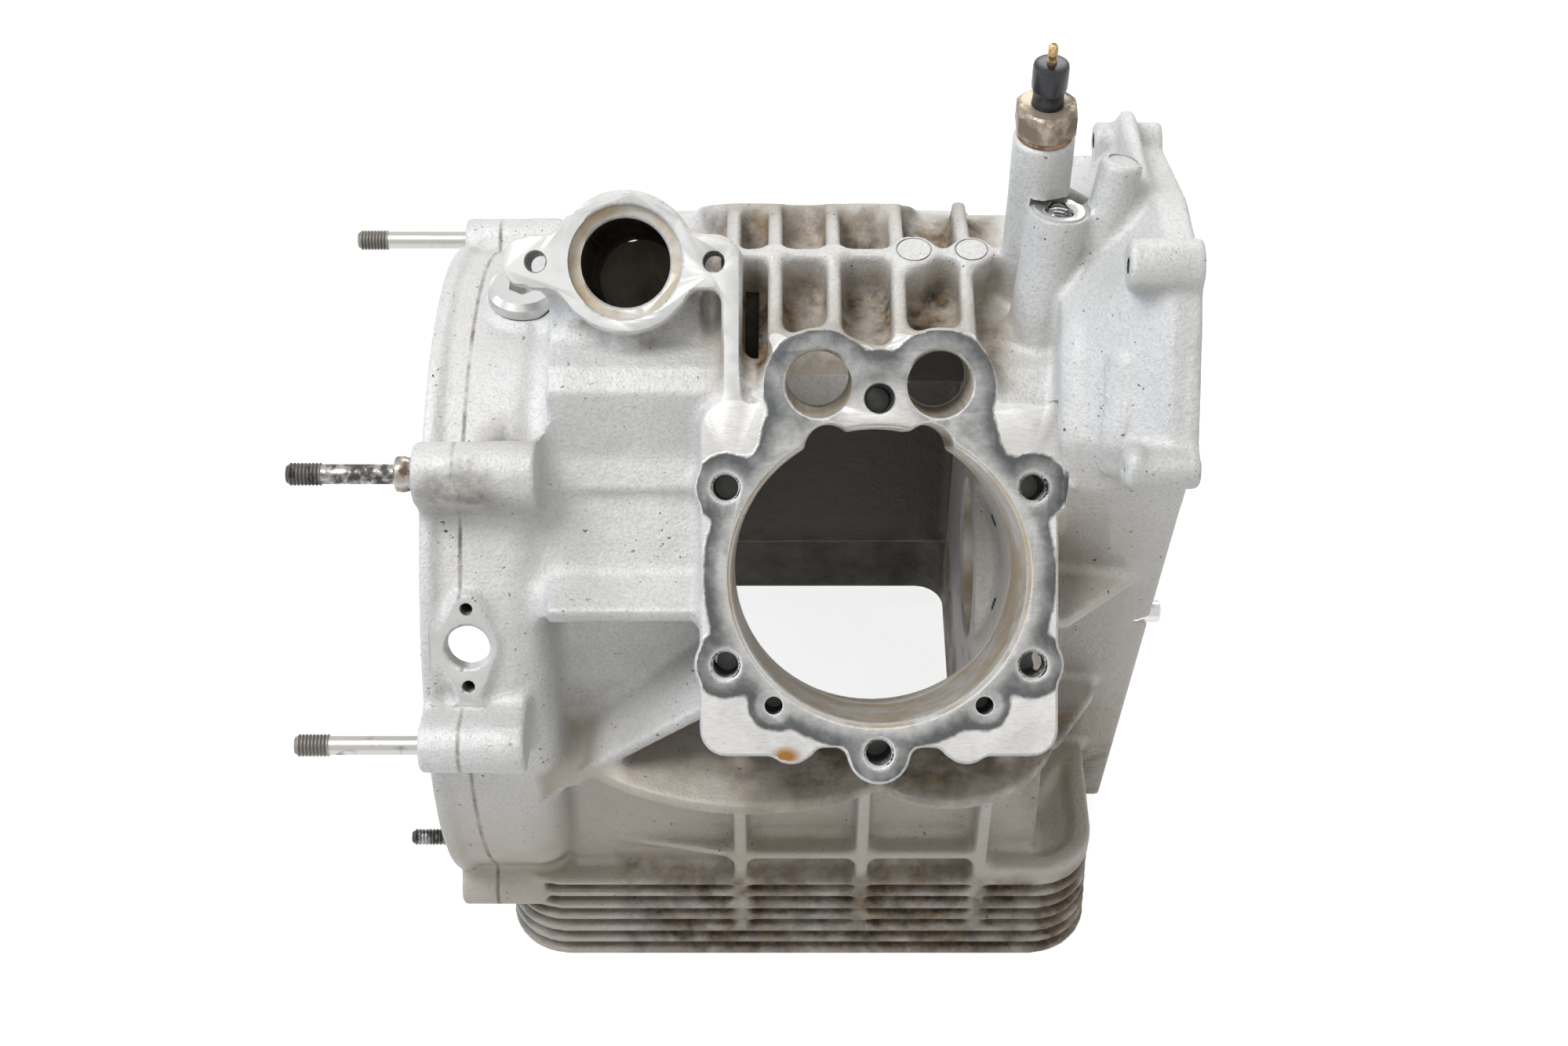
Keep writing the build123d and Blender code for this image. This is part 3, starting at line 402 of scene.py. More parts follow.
def bore(face, finish, point, radius, depth, mouth=0, tilt=0, clear=2, segments=64):
    """Bores a round hole at a point of a face, and bevels its mouth."""
    bm = rod(radius, depth + clear, segments)
    bmesh.ops.translate(bm, vec=(0, 0, (clear - depth) / 2 * mm), verts=bm.verts)
    if mouth:
        bmesh.ops.bisect_plane(
            bm, geom=bm.verts[:] + bm.edges[:] + bm.faces[:], plane_co=(0, 0, -mouth * mm), plane_no=(0, 0, 1)
        )
        for vert in bm.verts:
            if vert.co.z > -mouth * mm / 2:
                flare = (radius + mouth + clear) / radius
                vert.co.x *= flare
                vert.co.y *= flare
    tilted = Matrix.Translation(Vector((*point, 0)) * mm) @ Matrix.Rotation(tilt, 4, "X")
    add_cutter(bm, face @ tilted, finish)


# Materials of the casting.
# Grain, stains and tool marks are drawn on Object coordinates, in metres.
def node(tree, kind, *values, **settings):
    """Adds a shader node; each value is a link or a constant for the next input."""
    made = tree.nodes.new("ShaderNode" + kind)
    for name, value in settings.items():
        setattr(made, name, value)
    for socket, value in zip(made.inputs, values):
        if isinstance(value, bpy.types.NodeSocket):
            tree.links.new(value, socket)
        elif value is not None:
            socket.default_value = value
    return made.outputs[0]


def object_place(tree):
    return tree.nodes.new("ShaderNodeTexCoord").outputs["Object"]


def noise(tree, place, size, detail=2.0, roughness=0.5):
    """Cloudy 0 to 1 noise whose lumps are about a size in millimetres."""
    return node(tree, "TexNoise", place, None, 1000 / size, detail, roughness)


def math_node(tree, operation, a, b=None, c=None, clamp=False):
    return node(tree, "Math", a, b, c, operation=operation, use_clamp=clamp)


def spread(tree, value, low, high, to_low=0.0, to_high=1.0):
    """Maps a value from low and high to another pair, clamped."""
    return node(tree, "MapRange", value, low, high, to_low, to_high)


def blend_colour(tree, share, a, b):
    mix = tree.nodes.new("ShaderNodeMix")
    mix.data_type = "RGBA"
    for socket, value in ((mix.inputs[0], share), (mix.inputs[6], a), (mix.inputs[7], b)):
        if isinstance(value, bpy.types.NodeSocket):
            tree.links.new(value, socket)
        else:
            socket.default_value = value
    return mix.outputs[2]


def spot(tree, place, centre, size, soft=0.5):
    """1 inside an egg-shaped region, given by centre and half sizes in millimetres."""
    offset = node(tree, "VectorMath", place, Vector(centre) * mm, operation="SUBTRACT")
    scaled = node(
        tree, "VectorMath", offset, [1 / (half * mm) for half in size], operation="MULTIPLY"
    )
    length = tree.nodes.new("ShaderNodeVectorMath")
    length.operation = "LENGTH"
    tree.links.new(scaled, length.inputs[0])
    return spread(tree, length.outputs["Value"], 1 + soft / 2, 1 - soft / 2)


def box_spot(tree, place, centre, half, soft=2.0):
    """1 inside a box, given by centre and half sizes in millimetres."""
    offset = node(tree, "VectorMath", place, Vector(centre) * mm, operation="SUBTRACT")
    away = node(tree, "VectorMath", offset, operation="ABSOLUTE")
    past = node(tree, "VectorMath", away, Vector(half) * mm, operation="SUBTRACT")
    most = add_most(tree, [axis_of(tree, past, axis) for axis in "XYZ"])
    return spread(tree, most, soft * mm, 0.0)


def add_most(tree, values):
    most = values[0]
    for value in values[1:]:
        most = math_node(tree, "MAXIMUM", most, value)
    return most


def axis_of(tree, vector, axis):
    split = tree.nodes.new("ShaderNodeSeparateXYZ")
    tree.links.new(vector, split.inputs[0])
    return split.outputs[axis]


def bumped(tree, shader, height, distance, normal=None):
    bump = tree.nodes.new("ShaderNodeBump")
    bump.inputs["Distance"].default_value = distance * mm
    tree.links.new(height, bump.inputs["Height"])
    if normal:
        tree.links.new(normal, bump.inputs["Normal"])
    tree.links.new(bump.outputs[0], shader.inputs["Normal"])
    return bump.outputs[0]


def add_up(tree, values):
    total = values[0]
    for value in values[1:]:
        total = math_node(tree, "ADD", total, value)
    return total


cast_metal, tree, shader = new_material("cast_metal")
place = object_place(tree)
sand = noise(tree, place, 1.1, 3.0, 0.65)
lumps = noise(tree, place, 5.5, 3.0)
clouds = noise(tree, place, 38, 4.0, 0.6)
patches = noise(tree, place, 13, 5.0, 0.65)
# Oily dirt gathers in the valley, on the shelves and among the fins; the inner corners are darkened with
# painted shade from ambient occlusion
dirt_spots = add_up(
    tree,
    [
        spot(tree, place, (24, -24, 141), (48, 20, 8)),
        spot(tree, place, (10, 26, 141), (46, 22, 9)),
        spot(tree, place, (-12, -28, 136), (6, 30, 20)),
        spot(tree, place, (34, -104, 7), (80, 24, 7), 0.6),
        spot(tree, place, (100, -80, -20), (16, 14, 40), 0.9),
        box_spot(tree, place, (34, 0, -93), (92, 120, 23), 8.0),
        spot(tree, place, (-96, -50, 108), (9, 12, 9), 1.0),
        spot(tree, place, (-110, -78, 112), (14, 16, 12), 1.0),
    ],
)
# Painted shade: ambient occlusion darkens the inner corners with the dirt colour, except round the insert
# seat
corner = tree.nodes.new("ShaderNodeAmbientOcclusion")
corner.samples = 6
corner.only_local = True
corner.inputs["Distance"].default_value = 7 * mm
crevice_shade = spread(tree, corner.outputs["AO"], 0.76, 0.3)
crevice_shade = math_node(tree, "SUBTRACT", crevice_shade, spot(tree, place, (89, -8, 186), (15, 15, 9)), clamp=True)
dirt_and_shade = math_node(tree, "MULTIPLY_ADD", dirt_spots, 0.8, crevice_shade)
dirt_and_shade = math_node(tree, "MULTIPLY", dirt_and_shade, spread(tree, patches, 0.32, 0.58))
dirt_and_shade = math_node(tree, "MULTIPLY", dirt_and_shade, spread(tree, clouds, 0.3, 0.6, 0.4, 1.0), clamp=True)
# The cells of the valley hold the most
cells = box_spot(tree, place, (26, 0, 137), (40, 35, 3), 13.0)
cells = math_node(tree, "MULTIPLY", cells, spread(tree, patches, 0.36, 0.62))
dirt_and_shade = math_node(tree, "MAXIMUM", dirt_and_shade, cells)
# Fine black specks lie about the bell housing and the chest
specks = spread(tree, noise(tree, place, 1.6, 1.0), 0.70, 0.76)
specks = math_node(tree, "MULTIPLY", specks, spread(tree, patches, 0.48, 0.56))
dirt_and_shade = math_node(tree, "MAXIMUM", dirt_and_shade, specks)
# An old dirt line runs round the foot of the bell housing's rim
rim_line = box_spot(tree, place, (-110.3, 0, 0), (0.3, 150, 150), 0.7)
rim_line = math_node(tree, "MULTIPLY", rim_line, spread(tree, patches, 0.35, 0.65, 0.1, 0.8))
dirt_and_shade = math_node(tree, "MAXIMUM", dirt_and_shade, rim_line)
# A thin brown film lies in the valley, on the shelves and the skirt, and on the front corner
film = add_most(
    tree,
    [
        spot(tree, place, (110, -90, -30), (50, 40, 100), 1.2),
        box_spot(tree, place, (0, 0, -80), (150, 130, 40), 60.0),
        spot(tree, place, (90, -76, 60), (30, 14, 60), 1.2),
        box_spot(tree, place, (20, -104, 6), (105, 26, 5), 4.0),
        box_spot(tree, place, (26, 0, 140), (44, 38, 6), 12.0),
    ],
)
film = math_node(tree, "MULTIPLY", film, spread(tree, clouds, 0.25, 0.7, 0.35, 0.9))
# The chambers are painted near black as shade; the arch is a long egg cut off at the end walls
chamber_arch = math_node(
    tree,
    "MINIMUM",
    spot(tree, place, (18.8, 0, 0), (600, 74.6, 74.6), 0.01),
    box_spot(tree, place, (18.8, 0, 0), (52, 75, 75), 0.5),
)
inside = add_most(
    tree,
    [
        chamber_arch,
        box_spot(tree, place, (18.8, 0, -58), (52, 74.1, 58.5), 0.5),
        box_spot(tree, place, (18.8, 0, 60), (52, 27, 60), 0.5),
        box_spot(tree, place, (-58, 0, -36), (15, 74.1, 80.5), 0.5),
        box_spot(tree, place, (19.8, 0, -95), (51, 86, 21), 0.5),
    ],
)
metal = blend_colour(
    tree, spread(tree, clouds, 0.35, 0.7), (0.59, 0.585, 0.57, 1), (0.69, 0.685, 0.67, 1)
)
metal = blend_colour(tree, spread(tree, sand, 0.45, 0.7, 0.0, 0.42), metal, (0.36, 0.36, 0.345, 1))
metal = blend_colour(tree, film, metal, (0.40, 0.345, 0.27, 1))
# This dark brown is both the dirt and the painted shade of the inner corners
grime_and_shade = blend_colour(
    tree, spread(tree, lumps, 0.4, 0.65), (0.05, 0.036, 0.022, 1), (0.24, 0.16, 0.085, 1)
)
metal = blend_colour(tree, dirt_and_shade, metal, grime_and_shade)
# Painted shade: the inside of the chambers is nearly black
metal = blend_colour(tree, math_node(tree, "MULTIPLY", inside, 0.94), metal, (0.05, 0.046, 0.034, 1))
tree.links.new(metal, shader.inputs["Base Color"])
tree.links.new(spread(tree, dirt_and_shade, 0.0, 0.7, 0.25, 0.05), shader.inputs["Metallic"])
tree.links.new(spread(tree, dirt_and_shade, 0.0, 0.8, 0.55, 0.75), shader.inputs["Roughness"])
coarse = math_node(tree, "MULTIPLY_ADD", lumps, 1.6, sand)
bumped(tree, shader, coarse, 0.3)

# Deep recesses, painted near black as shade with brown mottling
recess_shade, tree, shader = new_material("painted_recess_shade")
recess_mottle = noise(tree, object_place(tree), 4, 4.0, 0.6)
tree.links.new(
    blend_colour(tree, spread(tree, recess_mottle, 0.35, 0.7), (0.03, 0.026, 0.018, 1), (0.12, 0.09, 0.05, 1)),
    shader.inputs["Base Color"],
)
shader.inputs["Roughness"].default_value = 0.6
bumped(tree, shader, recess_mottle, 0.4)


def machined(name, colour, roughness, marks=None, depth=0.02):
    """Freshly cut aluminium with fine marks; marks makes their height from a place."""
    material, tree, shader = new_material(name)
    place = object_place(tree)
    stain = noise(tree, place, 17, 4.0, 0.6)
    light = [min(1, part * 1.12) for part in colour] + [1]
    dark = [part * 0.8 for part in colour] + [1]
    tree.links.new(
        blend_colour(tree, spread(tree, stain, 0.35, 0.68), light, dark), shader.inputs["Base Color"]
    )
    shader.inputs["Metallic"].default_value = 0.85
    rough = spread(tree, stain, 0.3, 0.7, roughness - 0.06, roughness + 0.1)
    tree.links.new(rough, shader.inputs["Roughness"])
    height = marks(tree, place) if marks else noise(tree, place, 0.6, 2.0)
    bumped(tree, shader, height, depth)
    return material


def deck_place(tree):
    """The place on either deck in millimetres: away from the bore's middle, and up the face."""
    x, y, z = (axis_of(tree, object_place(tree), axis) for axis in "XYZ")
    bank_x = spread(tree, y, -0.001, 0.001, near_x, far_x)
    away = math_node(tree, "ABSOLUTE", math_node(tree, "SUBTRACT", math_node(tree, "DIVIDE", x, mm), bank_x))
    rise = math_node(tree, "SUBTRACT", z, math_node(tree, "ABSOLUTE", y))
    up = math_node(tree, "MULTIPLY", rise, math.sin(lean) / mm)
    return node(tree, "CombineXYZ", away, up, 0.0)


def circle_edge(tree, flat, centre, radius):
    """Distance outside a circle on a flat place, in millimetres."""
    apart = tree.nodes.new("ShaderNodeVectorMath")
    apart.operation = "DISTANCE"
    tree.links.new(flat, apart.inputs[0])
    apart.inputs[1].default_value = (*centre, 0)
    return math_node(tree, "SUBTRACT", apart.outputs["Value"], radius)


# Points on a deck, across and up from its bore
stud_ring = 59.6
side_stud = (51.6, 29.8)
tappet = (20.3, 64.1)
foot_screw = (35.5, -43.5)


def gasket_edge(tree, flat):
    """Distance outside the gasket's outline on a deck."""
    edge = circle_edge(tree, flat, (0, 0), 59.3)
    for centre, radius in (
        (side_stud, 11.6),
        ((side_stud[0], -side_stud[1]), 11.4),
        (foot_screw, 8.6),
        ((0, -stud_ring), 11),
        (tappet, 19.0),
        ((25.5, 46), 14.5),
        ((0, 64.5), 11.5),
    ):
        edge = math_node(tree, "SMOOTH_MIN", edge, circle_edge(tree, flat, centre, radius), 5.0)
    return edge


# Deck faces: dark where the cylinder gasket lay, bright outside it
deck_metal, tree, shader = new_material("deck_face")
flat = deck_place(tree)
place = object_place(tree)
wander = math_node(tree, "MULTIPLY_ADD", noise(tree, place, 3.5, 3.0), 1.6, -0.8)
edge = math_node(tree, "ADD", gasket_edge(tree, flat), wander)
cloudy = noise(tree, place, 11, 4.0, 0.65)
scuffs = noise(tree, node(tree, "Mapping", place, None, (0.6, 0.2, 0.9), (1, 6, 1)), 3.2, 3.0)
under_gasket = spread(tree, edge, 0.5, -0.5)
rim = spread(tree, edge, -5.5, -0.8)
bore_rim = spread(tree, circle_edge(tree, flat, (0, 0), 51), 5.0, 1.0)
washed = spread(tree, circle_edge(tree, flat, (0, 50), 9), 7.0, 0.0)
for centre in (side_stud, (side_stud[0], -side_stud[1]), (0, -stud_ring), foot_screw):
    around = spread(tree, circle_edge(tree, flat, centre, 5.6), 1.2, 0.0, 0.0, 0.8)
    bore_rim = math_node(tree, "MAXIMUM", bore_rim, around)
stain = math_node(tree, "MULTIPLY_ADD", rim, 0.3, spread(tree, cloudy, 0.28, 0.7, 0.5, 0.88))
stain = math_node(tree, "SUBTRACT", stain, math_node(tree, "MULTIPLY", bore_rim, 0.3))
stain = math_node(tree, "SUBTRACT", stain, math_node(tree, "MULTIPLY", washed, 0.6), clamp=True)
stain = math_node(tree, "MULTIPLY", stain, under_gasket)
bright = blend_colour(tree, spread(tree, cloudy, 0.3, 0.7), (0.76, 0.745, 0.72, 1), (0.64, 0.625, 0.60, 1))
bright = blend_colour(tree, spread(tree, scuffs, 0.4, 0.75, 0.0, 0.35), bright, (0.40, 0.40, 0.39, 1))
oil = spot(tree, place, (0.5, -134, 48), (4.5, 3, 3), 0.8)
bright = blend_colour(tree, oil, bright, (0.36, 0.17, 0.035, 1))
tree.links.new(blend_colour(tree, stain, bright, (0.10, 0.105, 0.105, 1)), shader.inputs["Base Color"])
shader.inputs["Metallic"].default_value = 0.6
tree.links.new(spread(tree, stain, 0.0, 0.8, 0.42, 0.55), shader.inputs["Roughness"])
cutter_pitch = 0.9 * mm
wave = {"wave_type": "BANDS", "bands_direction": "DIAGONAL"}
marks = node(tree, "TexWave", place, 0.31416 / cutter_pitch, 6.0, 3.0, 2.0, **wave)
step = math_node(tree, "MULTIPLY_ADD", under_gasket, 6.0, math_node(tree, "MULTIPLY", marks, 0.35))
bumped(tree, shader, step, 0.06)


def thread_marks(tree, place, pitch=1.5):
    """Thread crests across the axis of either deck's holes."""
    y, z = axis_of(tree, place, "Y"), axis_of(tree, place, "Z")
    along = math_node(tree, "ADD", z, math_node(tree, "ABSOLUTE", y))
    phase = math_node(tree, "MULTIPLY", along, math.sin(lean) * math.tau / (pitch * mm))
    return math_node(tree, "SINE", phase)


milled = machined("milled_face", (0.56, 0.56, 0.545), 0.4)
# Tapped holes are painted dark grey as the shade inside them
tapped = machined("tapped_hole", (0.15, 0.15, 0.145), 0.35, thread_marks, 0.4)

# Bored walls: turned smooth, tanned in patches by old oil
bored, tree, shader = new_material("bored_wall")
place = object_place(tree)
varnish = noise(tree, place, 24, 4.0, 0.6)
streaks = noise(tree, place, 6, 3.0)
colour = blend_colour(tree, spread(tree, varnish, 0.38, 0.62), (0.62, 0.61, 0.58, 1), (0.52, 0.42, 0.29, 1))
colour = blend_colour(tree, spread(tree, streaks, 0.5, 0.75, 0.0, 0.4), colour, (0.30, 0.26, 0.21, 1))
tree.links.new(colour, shader.inputs["Base Color"])
shader.inputs["Metallic"].default_value = 0.3
shader.inputs["Roughness"].default_value = 0.35
bumped(tree, shader, thread_marks(tree, place, 0.7), 0.015)

# Deep bores: their walls are painted near black as shade
bore_shade = machined("painted_bore_shade", (0.075, 0.068, 0.05), 0.38)

# Faces of both decks, the sump, the timing chest, the bell housing and the bosses
for deck in (near_deck, far_deck):
    mill(deck, deck_metal, (-62, -78), (62, 59))
    mill(deck, deck_metal, (-42, 59), (42, 86))
mill(near_deck, milled, (-127, 78), (-43, 132))
mill(near_deck, milled, (-53.2, 59), (-45.8, 78))
mill(sump_face, milled, (-140, -120), (140, 120))
mill(timing_face, milled, (-110, -130), (110, 215))
mill(bell_face, milled, (-150, -130), (150, 150))

# Each deck: cylinder bore with its lip, tappet reliefs and bores, foot screws and stud holes
cylinder_r, lip_r, tappet_r, relief_r = 49.6, 51.1, 11.1, 8.6
relief = (16.5, 42.5)
tappet_tilt = math.radians(7)
for deck in (near_deck, far_deck):
    bore(deck, bored, (0, 0), cylinder_r, 57, segments=160)
    bore(deck, bored, (0, 0), lip_r, 1.5, segments=160)
    for side in (-1, 1):
        bore(deck, bored, (relief[0] * side, relief[1]), relief_r, 50)
        bore(deck, bored, (tappet[0] * side, tappet[1]), tappet_r, 36, tilt=tappet_tilt, segments=96)
        bore(deck, tapped, (foot_screw[0] * side, foot_screw[1]), 3.05, 22, 0.4)
    for turn in range(6):
        angle = math.radians(30 + 60 * turn)
        stud_at = (stud_ring * math.cos(angle), stud_ring * math.sin(angle))
        bore(deck, tapped, stud_at, 4.3, 28, 1.3)

# The distributor's seat, its deep bore and its two screws
mount_seat_r, mount_bore_r = 19.05, 15.05
bore(near_deck, bored, mount, mount_seat_r, 5, segments=96)
# The deep bore's walls are painted near black as shade
bore(near_deck, bore_shade, mount, mount_bore_r, 86, segments=96)
# The deep slot between the strip and the deck, painted dark as shade
mill(near_deck, recess_shade, (-45.2, 61), (-40.6, 97), 33, -8)
for side in (-1, 1):
    bore(near_deck, tapped, (mount[0] + ear * side, mount[1]), 3.5, 22, 0.6)

# Main and camshaft bores, and the screws of their carriers
cam_z = 92
front_main_r, cam_r, rear_main_r = 30.6, 23.1, 44.1
bore(timing_face, bored, (0, 0), front_main_r, 62, segments=128)
bore(timing_face, bored, (0, cam_z), cam_r, 62, segments=96)
bore(bell_face, bored, (0, 0), rear_main_r, 93, segments=128)
front_wall = plane_at((71.6, 0, 0), (0, -1, 0), (-1, 0, 0))
rear_wall = plane_at((-87, 0, 0), (0, -1, 0), (-1, 0, 0))
small_screw_r = 2.5
for turn in range(8):
    angle = math.radians(22.5 + 45 * turn)
    for wall, circle in ((front_wall, 41), (rear_wall, 53)):
        screw_at = (circle * math.cos(angle), circle * math.sin(angle))
        bore(wall, tapped, screw_at, small_screw_r, 14, 0.4, segments=32)

# Screw, stud and dowel holes of the three flanges
cover_screw_r = 2.75
for point in ((-49, 191.5), (-91, 143), (84, 124), (44, 169.5), (-61, 60), (61, 60), (-36, -60), (36, -60)):
    bore(timing_face, tapped, point, cover_screw_r, 24, 0.4, segments=32)
dowel_at = (-59, 36)
bore(timing_face, milled, dowel_at, 4.05, 7, segments=48)
pan_screw_y = 97
for side in (-1, 1):
    for pan_x in (-79, -23, 33, 89):
        bore(sump_face, tapped, (pan_x, pan_screw_y * side), small_screw_r, 12, 0.4, segments=32)
# Angle and radius of each stud about the crankshaft's axis
stud_circle = {"far": (43.5, 124.5), "upper": (120, 132.4), "lower": (161.4, 131.6), "short": (195, 116)}


def bell_point(name):
    """The (y, z) point of a stud on the bell flange."""
    angle, radius = stud_circle[name]
    return radius * math.cos(math.radians(angle)), radius * math.sin(math.radians(angle))


for name in ("far", "upper", "lower"):
    y, z = bell_point(name)
    bore(bell_face, tapped, (-y, z), 3.95, 20, segments=48)
    if name == "upper":
        bore(bell_face, milled, (-y, z), 6.25, 6, segments=48)


def spun(points, segments=64):
    """A solid turned about z from (radius, height) points in millimetres; open ends lie on z."""
    bm = bmesh.new()
    verts = [bm.verts.new((radius * mm, 0, height * mm)) for radius, height in points]
    edges = [bm.edges.new(pair) for pair in zip(verts, verts[1:])]
    if points[0][0] > 0:
        edges.append(bm.edges.new((verts[-1], verts[0])))
    bmesh.ops.spin(
        bm, geom=verts + edges, axis=(0, 0, 1), cent=(0, 0, 0), angle=math.tau, steps=segments, use_merge=True
    )
    bmesh.ops.remove_doubles(bm, verts=bm.verts, dist=1e-7)
    bmesh.ops.recalc_face_normals(bm, faces=bm.faces)
    return bm


# Pin marks of the mould on the valley bosses
for mark_x, radius in ((44.5, 6.2), (64.2, 5.8)):
    mark = spun([(radius - 0.6, 3), (radius - 0.6, -0.5), (radius, -0.5), (radius, 3)], 64)
    add_cutter(mark, valley_top @ Matrix.Translation((mark_x * mm, 0, 0)), cast_metal)

# Seats of the sender, the thread insert and the plug, and the inspection pad
pillar_seat = plane_at((85, 0, 206), (1, 0, 0), (0, 0, 1))
insert_seat = plane_at((91, -12, 184.5), (1, 0, 0), (5.5, 10, 50.5))
small_seat = plane_at((110.5, -6, 199.5), (1, 0, 0), (6.5, 10, 39.5))
plug_seat = plane_at((-93, 16.5, 121), (1, 0, 0), (0, 0, 1))
pad_angle = math.radians(147)
pad_out = Vector((0, math.cos(pad_angle), math.sin(pad_angle)))
pad_seat = plane_at(Vector((-108, 0, 0)) + pad_out * 121.2, (1, 0, 0), pad_out)
mill(pillar_seat, milled, (-11.5, -11.5), (11.5, 11.5), 0.1, 4)
bore(pillar_seat, tapped, (0, 0), 6.05, 14)
bore(insert_seat, milled, (0, 0), 8.5, 0.15, clear=1.8, segments=96)
bore(insert_seat, tapped, (0, 0), 4.85, 14)
add_cutter(spun([(8.4, 1.8), (8.4, -0.9), (10.2, -0.9), (10.2, 1.8)], 96), insert_seat, cast_metal)
bore(small_seat, cast_metal, (0.4, 0.7), 4.9, 0.5)
bore(plug_seat, milled, (0, 0), 13.4, 0.1, clear=3, segments=96)
bore(plug_seat, milled, (0, 0), 9.05, 8)
mill(pad_seat, milled, (-13, -21), (11.5, 21), 0.15, 3)
bore(pad_seat, milled, (0, 0), 7.5, 20, 0.8, segments=96)
for side in (-1, 1):
    bore(pad_seat, tapped, (0, 13.8 * side), 2, 9, 0.4, segments=32)

cut = casting.modifiers.new("machining", "BOOLEAN")
cut.operation = "DIFFERENCE"
cut.operand_type = "COLLECTION"
cut.collection = cutters
cut.solver = "MANIFOLD"
cut.material_mode = "TRANSFER"
casting.data.materials.append(cast_metal)
apply_modifiers(casting)
for cutter in list(cutters.objects):
    bpy.data.objects.remove(cutter)
bpy.data.collections.remove(cutters)
shade(casting, 32)
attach(casting, "root")
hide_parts("crankcase")


# Steel, brass, copper and plastic of the small parts.
# The metals are bare under patches of tarnish, and their threads hold more dirt.
def metal_finish(name, colour, roughness, tarnish, share=0.5, size=9, threads=None):
    """Bare metal under patches of tarnish; threads gives the stretch and axis of screw marks."""
    material, tree, shader = new_material(name)
    place = object_place(tree)
    patches = noise(tree, place, size, 5.0, 0.65)
    cover = spread(tree, patches, 0.62 - 0.3 * share, 0.78 - 0.3 * share)
    if threads:
        axis, low, high = threads
        cover = math_node(
            tree, "MAXIMUM", cover, spread(tree, axis_of(tree, place, axis), low * mm, high * mm, 0.75, 0.0)
        )
    tree.links.new(
        blend_colour(tree, cover, (*colour, 1), (*tarnish, 1)), shader.inputs["Base Color"]
    )
    tree.links.new(spread(tree, cover, 0.0, 1.0, 0.95, 0.45), shader.inputs["Metallic"])
    tree.links.new(spread(tree, cover, 0.0, 1.0, roughness, roughness + 0.25), shader.inputs["Roughness"])
    bumped(tree, shader, noise(tree, place, 0.8, 3.0), 0.03)
    return material


stud_thread = ("X", -156, -154.5)
clean_steel = metal_finish("clean_steel", (0.50, 0.49, 0.46), 0.28, (0.13, 0.11, 0.09), 0.1, 7, stud_thread)
dirty_steel = metal_finish("dirty_steel", (0.42, 0.41, 0.40), 0.3, (0.05, 0.045, 0.04), 0.75, 5, stud_thread)
brown_steel = metal_finish("brown_steel", (0.40, 0.37, 0.34), 0.28, (0.10, 0.06, 0.035), 0.6, 6)
bright_steel = metal_finish("bright_steel", (0.62, 0.62, 0.61), 0.22, (0.34, 0.33, 0.32), 0.2, 12)
copper = metal_finish("washer_copper", (0.36, 0.21, 0.14), 0.45, (0.16, 0.10, 0.07), 0.6, 5)
brass = metal_finish("sender_brass", (0.46, 0.40, 0.32), 0.5, (0.24, 0.195, 0.15), 0.7, 8)
pin_brass = metal_finish("pin_brass", (0.55, 0.38, 0.17), 0.35, (0.14, 0.08, 0.04), 0.5, 4)
coil_steel = metal_finish("insert_steel", (0.72, 0.72, 0.72), 0.15, (0.5, 0.5, 0.5), 0.1, 6)
plastic, tree, shader = new_material("insulator_plastic")
shader.inputs["Base Color"].default_value = (0.012, 0.013, 0.016, 1)
shader.inputs["Roughness"].default_value = 0.28
bumped(tree, shader, noise(tree, object_place(tree), 2.5, 3.0), 0.06)


def finish_piece(bm, name, node_name, material, seat):
    """Sets a piece on its seat in place of a CAD node."""
    bmesh.ops.transform(bm, matrix=seat, verts=bm.verts)
    piece = bpy.data.objects.new(name, bpy.data.meshes.new(name))
    bm.to_mesh(piece.data)
    bm.free()
    scene.collection.objects.link(piece)
    piece.data.materials.append(material)
    shade(piece, 30)
    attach(piece, "root")
    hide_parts(node_name)
    return piece


def combine(piece, bm, operation):
    """Cuts a piece with another shape, or joins them."""
    tool = bpy.data.objects.new("tool", bpy.data.meshes.new("tool"))
    bm.to_mesh(tool.data)
    bm.free()
    scene.collection.objects.link(tool)
    change = piece.modifiers.new("change", "BOOLEAN")
    change.operation = operation
    change.object = tool
    change.solver = "EXACT"
    apply_modifiers(piece)
    bpy.data.objects.remove(tool)
    shade(piece, 30)


def threaded(start, end, radius, pitch=1.25, depth=0.5):
    """Profile points of a screw thread between two heights."""
    turns = round((end - start) / pitch)
    points = []
    for turn in range(turns):
        base = start + turn * (end - start) / turns
        points.append((radius - depth, base + 0.1 * pitch))
        points += [(radius, base + 0.45 * pitch), (radius, base + 0.65 * pitch)]
    return points


# Bell housing studs: turned steel, screwed into the flange, with a thread at the free end.
# Three are long, and the fourth is thin and short.
stud_seat_x = -104.4
for name, length, radius, seated, shank, thread, steel in (
    ("far", 62.6, 3.9, 3.9, 3.4, 12, clean_steel),
    ("upper", 62.6, 3.9, 3.9, 3.4, 12, dirty_steel),
    ("lower", 62.6, 3.9, 3.9, 3.4, 12, clean_steel),
    ("short", 32.6, 3.0, 2.2, 2.95, 11, dirty_steel),
):
    profile = [(0, 0), (seated, 0), (seated, 19.5), (shank, 20.2), (shank, length - thread - 0.6)]
    profile += threaded(length - thread, length - 0.9, radius)
    profile += [(radius - 0.5, length - 0.9), (radius - 1, length), (0, length)]
    seat = plane_at((stud_seat_x, *bell_point(name)), (0, 1, 0), (-1, 0, 0))
    finish_piece(spun(profile), "stud_" + name, "bell_stud_" + name, steel, seat)

# Locating bush: a turned steel collar with a rounded nose.
# It stands round the upper stud, pressed into the flange.
bush_seat_x = -118.4
bush_profile = [
    (3.95, 0), (6.15, 0), (6.15, 6), (5.75, 6.5), (5.8, 7.8), (6.2, 8.8),
    (6.2, 10.8), (5.9, 11.6), (5.2, 12.1), (3.95, 12.1),
]
seat = plane_at((bush_seat_x, *bell_point("upper")), (0, 1, 0), (-1, 0, 0))
finish_piece(spun(bush_profile), "bush", "locating_bush", brown_steel, seat)

